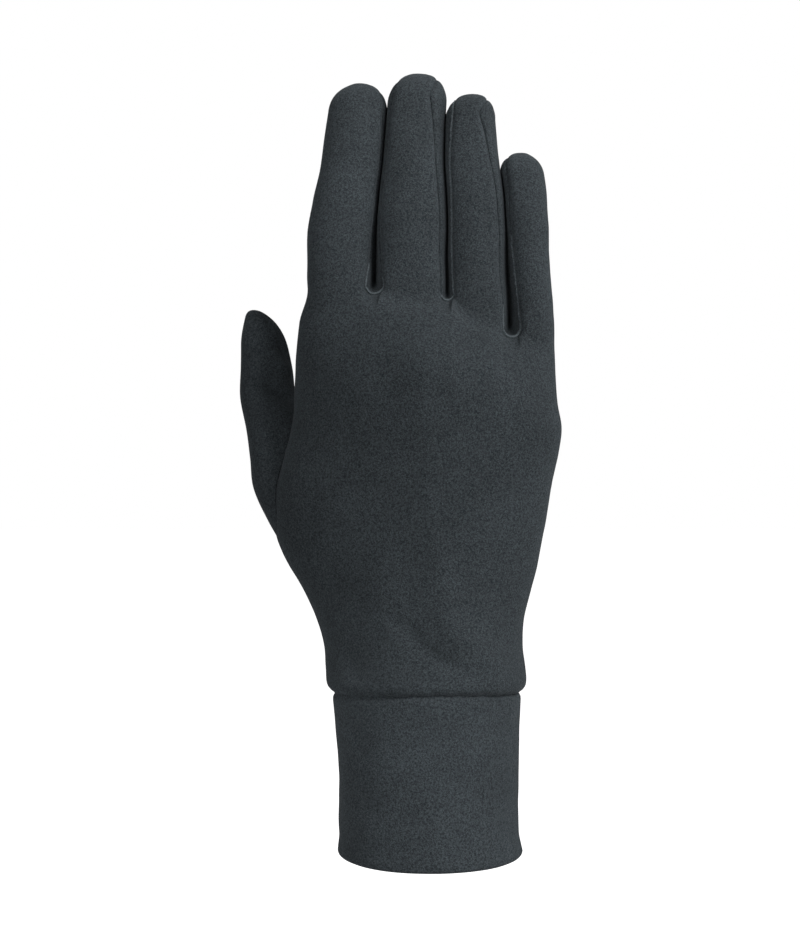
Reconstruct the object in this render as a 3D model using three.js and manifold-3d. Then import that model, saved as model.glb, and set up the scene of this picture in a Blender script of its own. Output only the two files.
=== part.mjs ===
// Right-hand glove liner in brushed knit cloth, standing in its worn form.
// Millimetres, +Z up along the fingers. The origin is the centre of the cuff's open mouth.
// The back of the hand faces -Y, and the thumb is at -X.
import * as THREE from "three";
import { mergeVertices } from "three/addons/utils/BufferGeometryUtils.js";
import Module from "manifold-3d";

const wasm = await Module();
wasm.setup();

// Cloth
const clothWall = 1.2;
const seamGap = 0.3;
const clothColour = 0x3a3f42;
const fourchetteColour = 0x34393c;
const clothRoughness = 0.95;

// Cuff: one tube, folded double at the hem
const cuffHeight = 50.5;
const cuffWidth = 58;
const cuffDepth = 47;
const cuffWall = 2.4;
const hemRoll = 0.9;
const hemRollHeight = 2.6;

// Hand, from the wrist seam up to the crotch between the middle and ring fingers. At the wrist seam
// it is a little wider than the cuff, and flatter.
const palmLength = 128.4;
const palmDepth = 30;
const wristFlare = 5;
const wristWidth = cuffWidth + wristFlare;
const wristDepth = cuffDepth - wristFlare / 5;
const knuckleBlend = 27;
const sideSeamAngle = 15;

// Crotches at both sides of the middle pair, above or below the middle crotch
const indexCrotchRise = 2.6;
const littleCrotchRise = -11;

// Fourchettes, the strips between the fingers
const fourchetteWidth = 10;

// Forward flex of the worn fingers towards the palm
const fingerFlex = 7;
const flexStart = 0.75;

// The middle finger's width and depth at its root and its length above the crotch, and the clear
// space beside the index finger's root
const fingerWidth = 22;
const fingerDepth = 21;
const fingerLength = 72.2;
const fingerGap = 2.8;

// Fingers from the thumb side: width, depth and length are shares of the middle finger's, and the
// seams say how far forward they run on its two sides, as shares of half the fourchette's width
const FINGER_SHAPES = [
  { name: "index", width: 0.909, depth: 0.976, length: 0.935, thumbSeam: 0, littleSeam: 0.75 },
  { name: "middle", width: 1, depth: 1, length: 1, thumbSeam: 0.9, littleSeam: 1.1 },
  { name: "ring", width: 0.836, depth: 0.952, length: 0.997, thumbSeam: 1, littleSeam: 1.1 },
  { name: "little", width: 0.636, depth: 0.857, length: 0.8, thumbSeam: 0.85, littleSeam: 0 },
];
const FINGERS = FINGER_SHAPES.map((shape) => ({
  ...shape,
  width: fingerWidth * shape.width,
  depth: fingerDepth * shape.depth,
  length: fingerLength * shape.length,
}));

// Clear space between neighbouring fingers, at the root and near the tip, as shares of fingerGap,
// and the share of the finger's length over which it closes
const GAP_ROWS = [
  { root: 1, tip: 0.16, closed: 0.5 },
  { root: 0.607, tip: 0.16, closed: 0.5 },
  { root: 1.357, tip: 0.18, closed: 0.8 },
];

// The middle finger's centre line, from the hand's centre line: it sways mostly near the tip
const middleOffset = -5.8;
const middleSway = 2.4;
const swayPower = 3;

// Thumb, set into the palm panel at its root: across is a share of wristWidth, behind of
// wristDepth and rise of palmLength
const thumbLength = 88;
const thumbWidth = 21;
const thumbDepth = 22;
const thumbRoot = { across: -0.5, behind: 0.13, rise: 0.3 };

// How square the cross-sections are: 2 is an ellipse
const fingerSquareness = 2.2;
const tipSquareness = 2.3;

// Hand sections: rise is a share of palmLength, knuckle says how far the section follows the
// knuckles' size rather than the wrist's, the sides and depths are shares of half that width or
// depth, and square is the section's squareness.
const HAND_ROWS = [
  { rise: 0.0, knuckle: 0.0, thumbSide: 1.0, littleSide: 0.93, back: 0.96, palm: 0.96, square: 2.1 },
  { rise: 0.017, knuckle: 0.0, thumbSide: 1.05, littleSide: 0.97, back: 1.0, palm: 1.0, square: 2.1 },
  { rise: 0.045, knuckle: 0.0, thumbSide: 1.07, littleSide: 0.98, back: 0.985, palm: 0.985, square: 2.1 },
  { rise: 0.109, knuckle: 0.1, thumbSide: 1.05, littleSide: 0.93, back: 0.93, palm: 0.93, square: 2.2 },
  { rise: 0.179, knuckle: 0.25, thumbSide: 1.08, littleSide: 0.905, back: 0.9, palm: 0.93, square: 2.3 },
  { rise: 0.249, knuckle: 0.4, thumbSide: 1.15, littleSide: 0.93, back: 0.89, palm: 0.98, square: 2.4 },
  { rise: 0.319, knuckle: 0.6, thumbSide: 1.24, littleSide: 0.945, back: 0.92, palm: 1.07, square: 2.45 },
  { rise: 0.382, knuckle: 0.75, thumbSide: 1.29, littleSide: 0.965, back: 0.96, palm: 1.15, square: 2.5 },
  { rise: 0.444, knuckle: 0.85, thumbSide: 1.27, littleSide: 0.99, back: 0.99, palm: 1.21, square: 2.5 },
  { rise: 0.522, knuckle: 1.0, thumbSide: 1.215, littleSide: 1.0, back: 1.03, palm: 1.25, square: 2.5 },
  { rise: 0.6, knuckle: 1.0, thumbSide: 1.165, littleSide: 1.045, back: 1.03, palm: 1.2, square: 2.5 },
  { rise: 0.678, knuckle: 1.0, thumbSide: 1.11, littleSide: 1.065, back: 1.01, palm: 1.13, square: 2.5 },
  { rise: 0.771, knuckle: 1.0, thumbSide: 1.08, littleSide: 1.02, back: 0.97, palm: 1.06, square: 2.5 },
  { rise: 0.872, knuckle: 1.0, thumbSide: 1.05, littleSide: 1.015, back: 0.88, palm: 0.97, square: 2.5 },
  { rise: 1.0, knuckle: 1.0, thumbSide: 1.0, littleSide: 1.0, back: 0.74, palm: 0.8, square: 2.5 },
];

// Finger sections: along runs from the crotches to the root of the rounded tip, and the rest are
// shares of each finger's width, of its depth and of half the fourchette's width.
const FINGER_ROWS = [
  { along: 0.0, index: 1.0, middle: 0.96, ring: 0.955, little: 0.87, depth: 1.0, strip: 1.0 },
  { along: 0.17, index: 1.02, middle: 0.98, ring: 0.975, little: 0.87, depth: 0.985, strip: 1.0 },
  { along: 0.34, index: 1.0, middle: 1.02, ring: 1.0, little: 0.88, depth: 0.955, strip: 1.0 },
  { along: 0.5, index: 0.98, middle: 0.985, ring: 1.0, little: 0.91, depth: 0.92, strip: 1.0 },
  { along: 0.67, index: 0.965, middle: 0.9, ring: 0.985, little: 0.97, depth: 0.885, strip: 1.02 },
  { along: 0.84, index: 0.955, middle: 0.87, ring: 0.94, little: 0.98, depth: 0.845, strip: 1.06 },
  { along: 1.0, index: 0.945, middle: 0.86, ring: 0.9, little: 0.98, depth: 0.79, strip: 1.1 },
];

// Thumb sections: along is a share of thumbLength from the root, across and behind are shares of
// it too, and width and depth are shares of the thumb's own.
const THUMB_ROWS = [
  { along: 0.0, across: 0.0, behind: 0.0, width: 0.98, depth: 0.95 },
  { along: 0.1, across: -0.055, behind: 0.07, width: 1.16, depth: 1.1 },
  { along: 0.2, across: -0.11, behind: 0.118, width: 1.22, depth: 1.14 },
  { along: 0.32, across: -0.17, behind: 0.153, width: 1.19, depth: 1.12 },
  { along: 0.435, across: -0.196, behind: 0.17, width: 1.09, depth: 1.06 },
  { along: 0.55, across: -0.224, behind: 0.181, width: 0.99, depth: 1.0 },
  { along: 0.67, across: -0.259, behind: 0.184, width: 0.885, depth: 0.92 },
  { along: 0.78, across: -0.265, behind: 0.181, width: 0.815, depth: 0.84 },
  { along: 0.88, across: -0.275, behind: 0.172, width: 0.72, depth: 0.75 },
  { along: 0.95, across: -0.288, behind: 0.163, width: 0.54, depth: 0.58 },
  { along: 0.985, across: -0.302, behind: 0.157, width: 0.3, depth: 0.34 },
];
const thumbTip = { across: -0.31, behind: 0.155 };

// Cuff sections from the wrist seam down: drop is a share of cuffHeight, wrist says how far the
// section still follows the hand's edge, and the rest are shares of half the cuff's width or depth.
const CUFF_ROWS = [
  { drop: 0.0, wrist: 1.0, thumbSide: 1.05, littleSide: 1.0, depth: 0.97 },
  { drop: 0.2, wrist: 0.45, thumbSide: 1.02, littleSide: 0.985, depth: 0.97 },
  { drop: 0.5, wrist: 0.1, thumbSide: 1.0, littleSide: 0.98, depth: 0.97 },
  { drop: 0.8, wrist: 0.0, thumbSide: 0.985, littleSide: 0.985, depth: 0.985 },
  { drop: 1.0, wrist: 0.0, thumbSide: 0.985, littleSide: 0.995, depth: 1.0 },
];

// Mesh fineness
const outerFingerColumns = 8;
const innerFingerColumns = 6;
const gapColumns = 3;
const stripColumns = 3;
const webSteps = 6;
const tubeSides = 28;
const HAND_RISES = [0, 0.017, 0.045, 0.109, 0.19, 0.27, 0.35, 0.43, 0.51, 0.6, 0.69, 0.78, 0.86, 0.93, 1];
const FINGER_SHARES = [0.11, 0.24, 0.38, 0.53, 0.68, 0.84, 1];
const TIP_ANGLES = [22, 43, 60, 76];
const stripEndAngle = 60;
const stripPointAngle = 57;
const hemTurns = [0, 45, 90, 135, 180];

const wristRise = cuffHeight + seamGap;
const radians = THREE.MathUtils.degToRad;
const mix = THREE.MathUtils.lerp;

// A power that keeps the sign, for rounded-square sections
function signedPower(value, squareness) {
  return Math.sign(value) * Math.pow(Math.abs(value), 2 / squareness);
}

// Reads one column of a table smoothly between its rows
function readTable(rows, place, at, column) {
  const last = rows.length - 1;
  let i = 0;
  while (i < last - 1 && at > rows[i + 1][place]) i += 1;
  const slope = (k) => {
    const below = rows[Math.max(k - 1, 0)];
    const above = rows[Math.min(k + 1, last)];
    return (above[column] - below[column]) / (above[place] - below[place]);
  };
  const span = rows[i + 1][place] - rows[i][place];
  const t = THREE.MathUtils.clamp((at - rows[i][place]) / span, 0, 1);
  const start = rows[i][column];
  const end = rows[i + 1][column];
  const ease = t * t * (3 - 2 * t);
  const leave = t * (1 - t) * (1 - t) * span * slope(i);
  const arrive = t * t * (t - 1) * span * slope(i + 1);
  return start + (end - start) * ease + leave + arrive;
}

// The palm-ward shift of the whole worn form at a height
function formBehind(z) {
  const flexFrom = wristRise + flexStart * palmLength;
  const reach = wristRise + palmLength + FINGERS[1].length - flexFrom;
  const share = Math.max(0, z - flexFrom) / reach;
  return fingerFlex * share * share;
}

// Crotch heights from the thumb side, and the line that the finger roots follow
const middleCrotch = wristRise + palmLength;
const crotchHeights = [middleCrotch + indexCrotchRise, middleCrotch, middleCrotch + littleCrotchRise];

function rootHeight(index, share) {
  const left = index > 0 ? crotchHeights[index - 1] : crotchHeights[0];
  const right = index < 3 ? crotchHeights[index] : crotchHeights[2];
  return mix(left, right, share);
}

function tipHeight(index) {
  return rootHeight(index, 0.5) + FINGERS[index].length;
}

// The rounded tip is half as long as the finger is wide there
function tipRadius(index) {
  const finger = FINGERS[index];
  return (finger.width / 2) * FINGER_ROWS.at(-1)[finger.name];
}

function alongFinger(index, z) {
  const root = rootHeight(index, 0.5);
  const end = tipHeight(index) - tipRadius(index);
  return THREE.MathUtils.clamp((z - root) / (end - root), 0, 1);
}

function fingerHalfWidth(index, z) {
  const finger = FINGERS[index];
  return (finger.width / 2) * readTable(FINGER_ROWS, "along", alongFinger(index, z), finger.name);
}

function fingerHalfDepth(index, z) {
  return (FINGERS[index].depth / 2) * readTable(FINGER_ROWS, "along", alongFinger(index, z), "depth");
}

// Finger centre lines: the middle finger sways, and the others stand beside it
function fingerCentre(index, z) {
  const middleShare = THREE.MathUtils.clamp((z - middleCrotch) / FINGERS[1].length, 0, 1);
  if (index === 1) return middleOffset + middleSway * Math.pow(middleShare, swayPower);
  const towards = index === 0 ? 1 : index - 1;
  const gap = GAP_ROWS[index === 0 ? 0 : index - 1];
  const closing = THREE.MathUtils.smoothstep(alongFinger(index, z), 0, gap.closed);
  const clear = fingerGap * mix(gap.root, gap.tip, closing);
  const step = fingerHalfWidth(index, z) + clear + fingerHalfWidth(towards, z);
  return fingerCentre(towards, z) + (index === 0 ? -step : step);
}

// Knuckle edges, from the stack of fingers
const knuckleLeft = fingerCentre(0, crotchHeights[0]) - fingerHalfWidth(0, crotchHeights[0]);
const knuckleRight = fingerCentre(3, crotchHeights[2]) + fingerHalfWidth(3, crotchHeights[2]);
const knuckleWidth = knuckleRight - knuckleLeft;
const knuckleCentre = (knuckleLeft + knuckleRight) / 2;
const knuckleSquareness = HAND_ROWS.at(-1).square;

// Half sizes of the hand at a height, with the cloth grown outwards or inwards
function handSection(z, grow) {
  const rise = THREE.MathUtils.clamp((z - wristRise) / palmLength, 0, 1);
  const read = (column) => readTable(HAND_ROWS, "rise", rise, column);
  const follow = THREE.MathUtils.clamp(read("knuckle"), 0, 1);
  const half = mix(wristWidth, knuckleWidth, follow) / 2;
  const depth = mix(wristDepth, palmDepth, follow) / 2;
  const left = half * read("thumbSide");
  const right = half * read("littleSide");
  return {
    centre: follow * knuckleCentre + (right - left) / 2,
    half: (left + right) / 2 + grow,
    back: depth * read("back") + grow,
    palm: depth * read("palm") + grow,
    square: read("square"),
  };
}

// A point of the hand's surface: side is -1 for the back and 1 for the palm, and angle turns from
// the middle of that side towards the edges
function handPoint(side, angle, z, grow) {
  const section = handSection(z, grow);
  const turned = signedPower(Math.cos(angle), section.square);
  const backwards = side * turned < 0;
  const depth = backwards ? section.back : section.palm;
  const x = section.centre + section.half * signedPower(Math.sin(angle), section.square);
  return new THREE.Vector3(x, formBehind(z) + side * depth * turned, z);
}

// A point of a finger's surface, above the root line or on the rounded tip
function fingerPoint(index, side, angle, level, grow) {
  const round = level.tip === undefined ? 1 : signedPower(Math.cos(radians(level.tip)), tipSquareness);
  const tipBase = tipHeight(index) - tipRadius(index);
  const lift = level.tip === undefined ? 0 : signedPower(Math.sin(radians(level.tip)), tipSquareness);
  const z = level.tip === undefined ? level.z : tipBase + (tipRadius(index) + grow) * lift;
  const half = (fingerHalfWidth(index, Math.min(z, tipBase)) + grow) * round;
  const depth = (fingerHalfDepth(index, Math.min(z, tipBase)) + grow) * round;
  const x = fingerCentre(index, z) + half * signedPower(Math.sin(angle), fingerSquareness);
  const y = formBehind(z) + side * depth * signedPower(Math.cos(angle), fingerSquareness);
  return new THREE.Vector3(x, y, z);
}

// The angle on a finger where a fourchette's seam runs: turn is -1 on its thumb side and 1 on the
// other, and ease draws the cloth back from the seam
function seamAngle(index, turn, level, ease) {
  const tipBase = tipHeight(index) - tipRadius(index);
  const z = level.tip === undefined ? level.z : tipBase;
  const round = level.tip === undefined ? 1 : signedPower(Math.cos(radians(level.tip)), tipSquareness);
  const narrowing = level.tip === undefined ? 1 : Math.max(0, 1 - Math.pow(level.tip / stripEndAngle, 2));
  const depth = fingerHalfDepth(index, z) * round;
  const share = readTable(FINGER_ROWS, "along", alongFinger(index, z), "strip");
  const forward = turn < 0 ? FINGERS[index].thumbSeam : FINGERS[index].littleSeam;
  const half = (fourchetteWidth / 2) * forward * share * narrowing;
  const rounded = Math.pow(Math.min(1, half / depth), fingerSquareness / 2);
  return Math.acos(rounded) + ease / fingerHalfDepth(index, rootHeight(index, 0.5));
}

// The U-shaped floor of a crotch: across turns from the left finger's wall to the right one's
function webPoint(between, side, sideAngle, across, grow) {
  const level = { z: crotchHeights[between] };
  const start = fingerPoint(between, side, sideAngle(between, 1), level, grow);
  const end = fingerPoint(between + 1, side, -sideAngle(between + 1, -1), level, grow);
  const turn = Math.PI * across;
  const place = start.clone().lerp(end, (1 - Math.cos(turn)) / 2);
  place.z -= Math.sin(turn) * start.distanceTo(end) / 2;
  return place;
}

// A piece of cloth: outer points with their inner partners, its faces, and a rim on every edge
class Cloth {
  constructor() {
    this.outer = [];
    this.inner = [];
    this.faces = [];
  }

  point(place) {
    this.outer.push(place(0));
    this.inner.push(place(-clothWall));
    return this.outer.length - 1;
  }

  grid(rows) {
    for (let i = 1; i < rows.length; i += 1) {
      for (let j = 1; j < rows[i].length; j += 1) {
        this.quad(rows[i - 1][j - 1], rows[i - 1][j], rows[i][j], rows[i][j - 1]);
      }
    }
  }

  quad(a, b, c, d) {
    if (a !== b && b !== c && c !== a) this.faces.push([a, b, c]);
    if (a !== c && c !== d && d !== a) this.faces.push([a, c, d]);
  }

  geometry() {
    const count = this.outer.length;
    const triangles = this.faces.map((face) => [...face]);
    for (const [a, b, c] of this.faces) triangles.push([a + count, c + count, b + count]);
    const edges = new Set(this.faces.flatMap(([a, b, c]) => [`${a} ${b}`, `${b} ${c}`, `${c} ${a}`]));
    for (const edge of edges) {
      const [a, b] = edge.split(" ").map(Number);
      if (edges.has(`${b} ${a}`)) continue;
      triangles.push([b, a, a + count], [b, a + count, b + count]);
    }
    return closedGeometry([...this.outer, ...this.inner], triangles);
  }
}

// A geometry from points and triangles, turned so that its faces point outwards
function closedGeometry(points, triangles) {
  const corner = new THREE.Vector3();
  const volume = triangles.reduce((sum, [a, b, c]) => (
    sum + points[a].dot(corner.crossVectors(points[b], points[c]))
  ), 0);
  const order = volume < 0 ? triangles.map(([a, b, c]) => [a, c, b]) : triangles;
  const geometry = new THREE.BufferGeometry();
  geometry.setAttribute("position", new THREE.Float32BufferAttribute(points.flatMap((p) => p.toArray()), 3));
  geometry.setIndex(order.flat());
  return geometry;
}

// Columns of the back or palm panel from the thumb side: each gives its root height and its place
// at the finger roots, and a finger's column also its angle at any level
function panelColumns(side) {
  const ease = -seamGap / 2;
  const wrap = radians(90 - side * sideSeamAngle);
  const columns = [];
  FINGERS.forEach((_, index) => {
    const outerLeft = index === 0;
    const outerRight = index === FINGERS.length - 1;
    const steps = outerLeft || outerRight ? outerFingerColumns : innerFingerColumns;
    for (let k = 0; k <= steps; k += 1) {
      const share = k / steps;
      const angle = (level) => {
        const ended = level.tip !== undefined && level.tip >= stripEndAngle;
        const round = level.tip === undefined ? 1 : Math.cos(radians(level.tip));
        const inset = ease / (fingerHalfDepth(index, rootHeight(index, share)) * round);
        const edge = (turn) => (ended ? Math.PI / 2 + inset : seamAngle(index, turn, level, ease));
        const left = outerLeft ? -(wrap + inset) : -edge(-1);
        const right = outerRight ? wrap + inset : edge(1);
        return mix(left, right, share);
      };
      const z = rootHeight(index, share);
      columns.push({ finger: index, z, angle, root: (grow) => (
        fingerPoint(index, side, angle({ z }), { z: z + grow }, grow)) });
    }
    if (outerRight) return;
    for (let k = 1; k < gapColumns; k += 1) {
      const root = (grow) => {
        const level = { z: crotchHeights[index] };
        const seam = (i, turn) => seamAngle(i, turn, level, ease);
        const place = webPoint(index, side, seam, k / gapColumns, grow);
        place.z -= seamGap / 2;
        return place;
      };
      columns.push({ finger: null, z: root(0).z, root });
    }
  });
  return columns;
}

// The angle on the hand's section that meets a column at the finger roots
function handAngle(column, side) {
  const place = column.root(0);
  const share = THREE.MathUtils.clamp((place.x - knuckleCentre) / (knuckleWidth / 2), -1, 1);
  const angle = Math.asin(Math.sign(share) * Math.pow(Math.abs(share), knuckleSquareness / 2));
  const wrapped = side * (place.y - formBehind(place.z)) < 0;
  return wrapped ? Math.sign(angle) * Math.PI - angle : angle;
}

// The back or the palm of the hand, with its side of all four fingers
function buildPanel(side) {
  const cloth = new Cloth();
  const columns = panelColumns(side);
  const roots = [];
  const handRows = HAND_RISES.map(() => []);
  columns.forEach((column, j) => {
    const angle = handAngle(column, side);
    HAND_RISES.forEach((rise, i) => {
      const z = mix(wristRise + seamGap / 2, column.z, rise);
      const blend = THREE.MathUtils.smoothstep(z, column.z - knuckleBlend, column.z);
      const place = (grow) => {
        const root = column.root(grow);
        const low = handPoint(side, angle, z, grow);
        return new THREE.Vector3(mix(low.x, root.x, blend), mix(low.y, root.y, blend),
          z + (root.z - column.z) * rise);
      };
      handRows[i].push(cloth.point(place));
    });
    roots[j] = handRows.at(-1)[j];
  });
  cloth.grid(handRows);
  FINGERS.forEach((_, index) => {
    const own = columns.map((_column, j) => j).filter((j) => columns[j].finger === index);
    const fingerRows = [own.map((j) => roots[j])];
    const tipBase = tipHeight(index) - tipRadius(index);
    for (const share of FINGER_SHARES) {
      fingerRows.push(own.map((j) => {
        const level = { z: mix(columns[j].z, tipBase, share) };
        return cloth.point((grow) => fingerPoint(index, side, columns[j].angle(level), level, grow));
      }));
    }
    for (const tip of TIP_ANGLES) {
      fingerRows.push(own.map((j) => cloth.point((grow) => (
        fingerPoint(index, side, columns[j].angle({ tip }), { tip }, grow)))));
    }
    const apex = cloth.point((grow) => {
      const place = fingerPoint(index, side, 0, { tip: 90 }, grow);
      place.y += (side * seamGap) / 2;
      return place;
    });
    fingerRows.push(own.map(() => apex));
    cloth.grid(fingerRows);
  });
  return cloth.geometry();
}

// A fourchette: down one finger's wall, round the crotch and up the next finger's wall
function buildFourchette(between) {
  const cloth = new Cloth();
  const ease = seamGap / 2;
  const shares = Array.from({ length: stripColumns + 1 }, (_, k) => k / stripColumns);
  const across = (index, turn, level, share) => {
    const edge = seamAngle(index, turn, level, ease);
    return mix(edge, Math.PI - edge, share);
  };
  const wall = (index, turn) => {
    const tipBase = tipHeight(index) - tipRadius(index);
    const levels = [0, ...FINGER_SHARES].map((share) => ({ z: mix(crotchHeights[between], tipBase, share) }));
    levels.push(...TIP_ANGLES.filter((tip) => tip < stripEndAngle).map((tip) => ({ tip })));
    const rows = levels.map((level) => shares.map((share) => cloth.point((grow) => (
      fingerPoint(index, -1, turn * across(index, turn, level, share), level, grow)))));
    const end = cloth.point((grow) => (
      fingerPoint(index, -1, turn * Math.PI / 2, { tip: stripPointAngle }, grow)));
    return [...rows, shares.map(() => end)];
  };
  const left = wall(between, 1);
  const right = wall(between + 1, -1);
  const web = [];
  for (let step = 1; step < webSteps; step += 1) {
    web.push(shares.map((share) => cloth.point((grow) => {
      const level = { z: crotchHeights[between] };
      const seam = (index, turn) => across(index, turn, level, share);
      return webPoint(between, -1, seam, step / webSteps, grow);
    })));
  }
  cloth.grid([...left.reverse(), ...web, ...right]);
  return cloth.geometry();
}

// A closed tube through rings of points, with a flat bottom and a top that ends in a point
function closedTube(rings, apex) {
  const sides = rings[0].length;
  const points = [...rings.flat(), apex, average(rings[0])];
  const top = rings.length * sides;
  const triangles = [];
  for (let j = 0; j < sides; j += 1) {
    const next = (j + 1) % sides;
    for (let i = 1; i < rings.length; i += 1) {
      const low = (i - 1) * sides;
      const high = i * sides;
      triangles.push([low + j, low + next, high + next], [low + j, high + next, high + j]);
    }
    const last = (rings.length - 1) * sides;
    triangles.push([last + j, last + next, top], [next, j, top + 1]);
  }
  return closedGeometry(points, triangles);
}

function average(points) {
  return points.reduce((sum, point) => sum.add(point), new THREE.Vector3()).divideScalar(points.length);
}

// The thumb's tube, grown outwards or inwards
function thumbTube(grow) {
  const root = new THREE.Vector3(
    wristWidth * thumbRoot.across,
    wristDepth * thumbRoot.behind,
    wristRise + palmLength * thumbRoot.rise,
  );
  const rings = THUMB_ROWS.map((row) => Array.from({ length: tubeSides }, (_, j) => {
    const angle = (2 * Math.PI * j) / tubeSides;
    const half = (thumbWidth / 2) * row.width + grow;
    const depth = (thumbDepth / 2) * row.depth + grow;
    return new THREE.Vector3(
      root.x + thumbLength * row.across + half * signedPower(Math.cos(angle), fingerSquareness),
      root.y + thumbLength * row.behind + depth * signedPower(Math.sin(angle), fingerSquareness),
      root.z + thumbLength * row.along,
    );
  }));
  const apex = new THREE.Vector3(
    root.x + thumbLength * thumbTip.across,
    root.y + thumbLength * thumbTip.behind,
    root.z + thumbLength + grow,
  );
  return closedTube(rings, apex);
}

// The hand as a filled form, to trim the thumb against
function handForm(grow) {
  const rises = HAND_RISES.slice(1, -1);
  const rings = rises.map((rise) => Array.from({ length: 2 * tubeSides }, (_, j) => {
    const angle = (Math.PI * j) / tubeSides;
    const onPalm = Math.cos(angle) < 0;
    const turned = onPalm ? Math.PI - angle : angle;
    return handPoint(onPalm ? 1 : -1, turned, wristRise + rise * palmLength, grow);
  }));
  return closedTube(rings, average(rings.at(-1)));
}

// The folded cuff: down the outside, round the rolled hem and up the inside
function buildCuff() {
  const edge = handSection(wristRise, 0);
  const profile = CUFF_ROWS.slice(0, -1).map((row) => ({ ...row, inset: 0, lift: 0 }));
  const hem = CUFF_ROWS.at(-1);
  const bend = cuffWall / 2;
  profile.push({ ...hem, inset: -hemRoll / 2, lift: hemRollHeight });
  for (const angle of hemTurns) {
    const inward = bend * (1 - Math.cos(radians(angle)));
    profile.push({ ...hem, inset: inward - hemRoll, lift: bend * (1 - Math.sin(radians(angle))) });
  }
  for (const row of [...CUFF_ROWS].reverse().slice(1)) profile.push({ ...row, inset: cuffWall, lift: 0 });
  const points = profile.flatMap((row) => Array.from({ length: tubeSides }, (_, j) => {
    const angle = (2 * Math.PI * j) / tubeSides;
    const reach = Math.cos(angle) < 0 ? row.thumbSide : row.littleSide;
    const x = ((cuffWidth / 2) * reach - row.inset) * Math.cos(angle);
    const y = ((cuffDepth / 2) * row.depth - row.inset) * Math.sin(angle);
    const seamX = edge.centre + (edge.half - row.inset) * signedPower(Math.cos(angle), edge.square);
    const seamY = (edge.back - row.inset) * signedPower(Math.sin(angle), edge.square);
    const z = cuffHeight * (1 - row.drop) + row.lift;
    return new THREE.Vector3(mix(x, seamX, row.wrist), mix(y, seamY, row.wrist), z);
  }));
  const triangles = [];
  profile.forEach((_, i) => {
    const low = i * tubeSides;
    const high = ((i + 1) % profile.length) * tubeSides;
    for (let j = 0; j < tubeSides; j += 1) {
      const next = (j + 1) % tubeSides;
      triangles.push([low + j, low + next, high + next], [low + j, high + next, high + j]);
    }
  });
  return closedGeometry(points, triangles);
}

// Closed geometry to a solid that can be joined or cut, and back
function toSolid(geometry) {
  const merged = mergeVertices(geometry, 1e-4);
  return new wasm.Manifold(new wasm.Mesh({
    numProp: 3,
    vertProperties: new Float32Array(merged.attributes.position.array),
    triVerts: new Uint32Array(merged.index.array),
  }));
}

function toGeometry(solid) {
  const mesh = solid.getMesh();
  const geometry = new THREE.BufferGeometry();
  geometry.setAttribute("position", new THREE.BufferAttribute(mesh.vertProperties, 3));
  geometry.setIndex(new THREE.BufferAttribute(mesh.triVerts, 1));
  return geometry;
}

// The thumb's shell ends on the palm, and the palm is open where the thumb goes in
function buildThumb() {
  const shell = toSolid(thumbTube(0)).subtract(toSolid(thumbTube(-clothWall)));
  return toGeometry(shell.subtract(toSolid(handForm(seamGap))));
}

function buildPalm() {
  return toGeometry(toSolid(buildPanel(1)).subtract(toSolid(thumbTube(-clothWall))));
}

function addPiece(group, name, geometry, color) {
  const material = new THREE.MeshStandardMaterial({ color, roughness: clothRoughness, metalness: 0 });
  const mesh = new THREE.Mesh(geometry, material);
  mesh.name = name;
  group.add(mesh);
}

const glove = new THREE.Group();
addPiece(glove, "back_panel", buildPanel(-1), clothColour);
addPiece(glove, "palm_panel", buildPalm(), clothColour);
addPiece(glove, "fourchette_index_middle", buildFourchette(0), fourchetteColour);
addPiece(glove, "fourchette_middle_ring", buildFourchette(1), fourchetteColour);
addPiece(glove, "fourchette_ring_little", buildFourchette(2), fourchetteColour);
addPiece(glove, "thumb", buildThumb(), clothColour);
addPiece(glove, "cuff", buildCuff(), clothColour);

export default glove;
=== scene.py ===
"""Right-hand glove liner in brushed knit cloth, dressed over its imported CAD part.

Sizes are in millimetres until a mesh is made. +Z runs up the fingers, the back of the hand faces -Y
and the thumb is at -X.
"""

import logging
import math
from dataclasses import dataclass
from enum import Enum, IntEnum

import bpy
import numpy as np
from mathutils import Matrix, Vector, kdtree, noise

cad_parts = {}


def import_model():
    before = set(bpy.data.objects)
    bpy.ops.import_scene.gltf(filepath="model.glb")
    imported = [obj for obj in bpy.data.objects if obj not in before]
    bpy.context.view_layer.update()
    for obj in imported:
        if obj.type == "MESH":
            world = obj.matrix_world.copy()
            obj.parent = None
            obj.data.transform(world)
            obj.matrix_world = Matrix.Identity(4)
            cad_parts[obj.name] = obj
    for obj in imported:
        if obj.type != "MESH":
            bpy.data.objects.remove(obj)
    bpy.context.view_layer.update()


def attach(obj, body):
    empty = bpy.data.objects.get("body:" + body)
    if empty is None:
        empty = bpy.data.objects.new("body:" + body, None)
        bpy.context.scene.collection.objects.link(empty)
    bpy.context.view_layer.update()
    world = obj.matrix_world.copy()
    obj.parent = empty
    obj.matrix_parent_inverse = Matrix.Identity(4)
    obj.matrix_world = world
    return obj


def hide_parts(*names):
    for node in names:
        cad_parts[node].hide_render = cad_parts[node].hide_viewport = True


Array = np.ndarray
# One number, or an array of them.
Values = np.ndarray | float
METRES = 0.001
LOG = logging.getLogger("glove_liner")


class Side(IntEnum):
    """The side of the hand that a panel covers."""

    BACK = -1
    PALM = 1


class Edge(Enum):
    """The kinds of edge that a panel of cloth has."""

    FINGER_SEAM = "finger seam"
    SIDE_SEAM = "side seam"
    WRIST_SEAM = "wrist seam"


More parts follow.
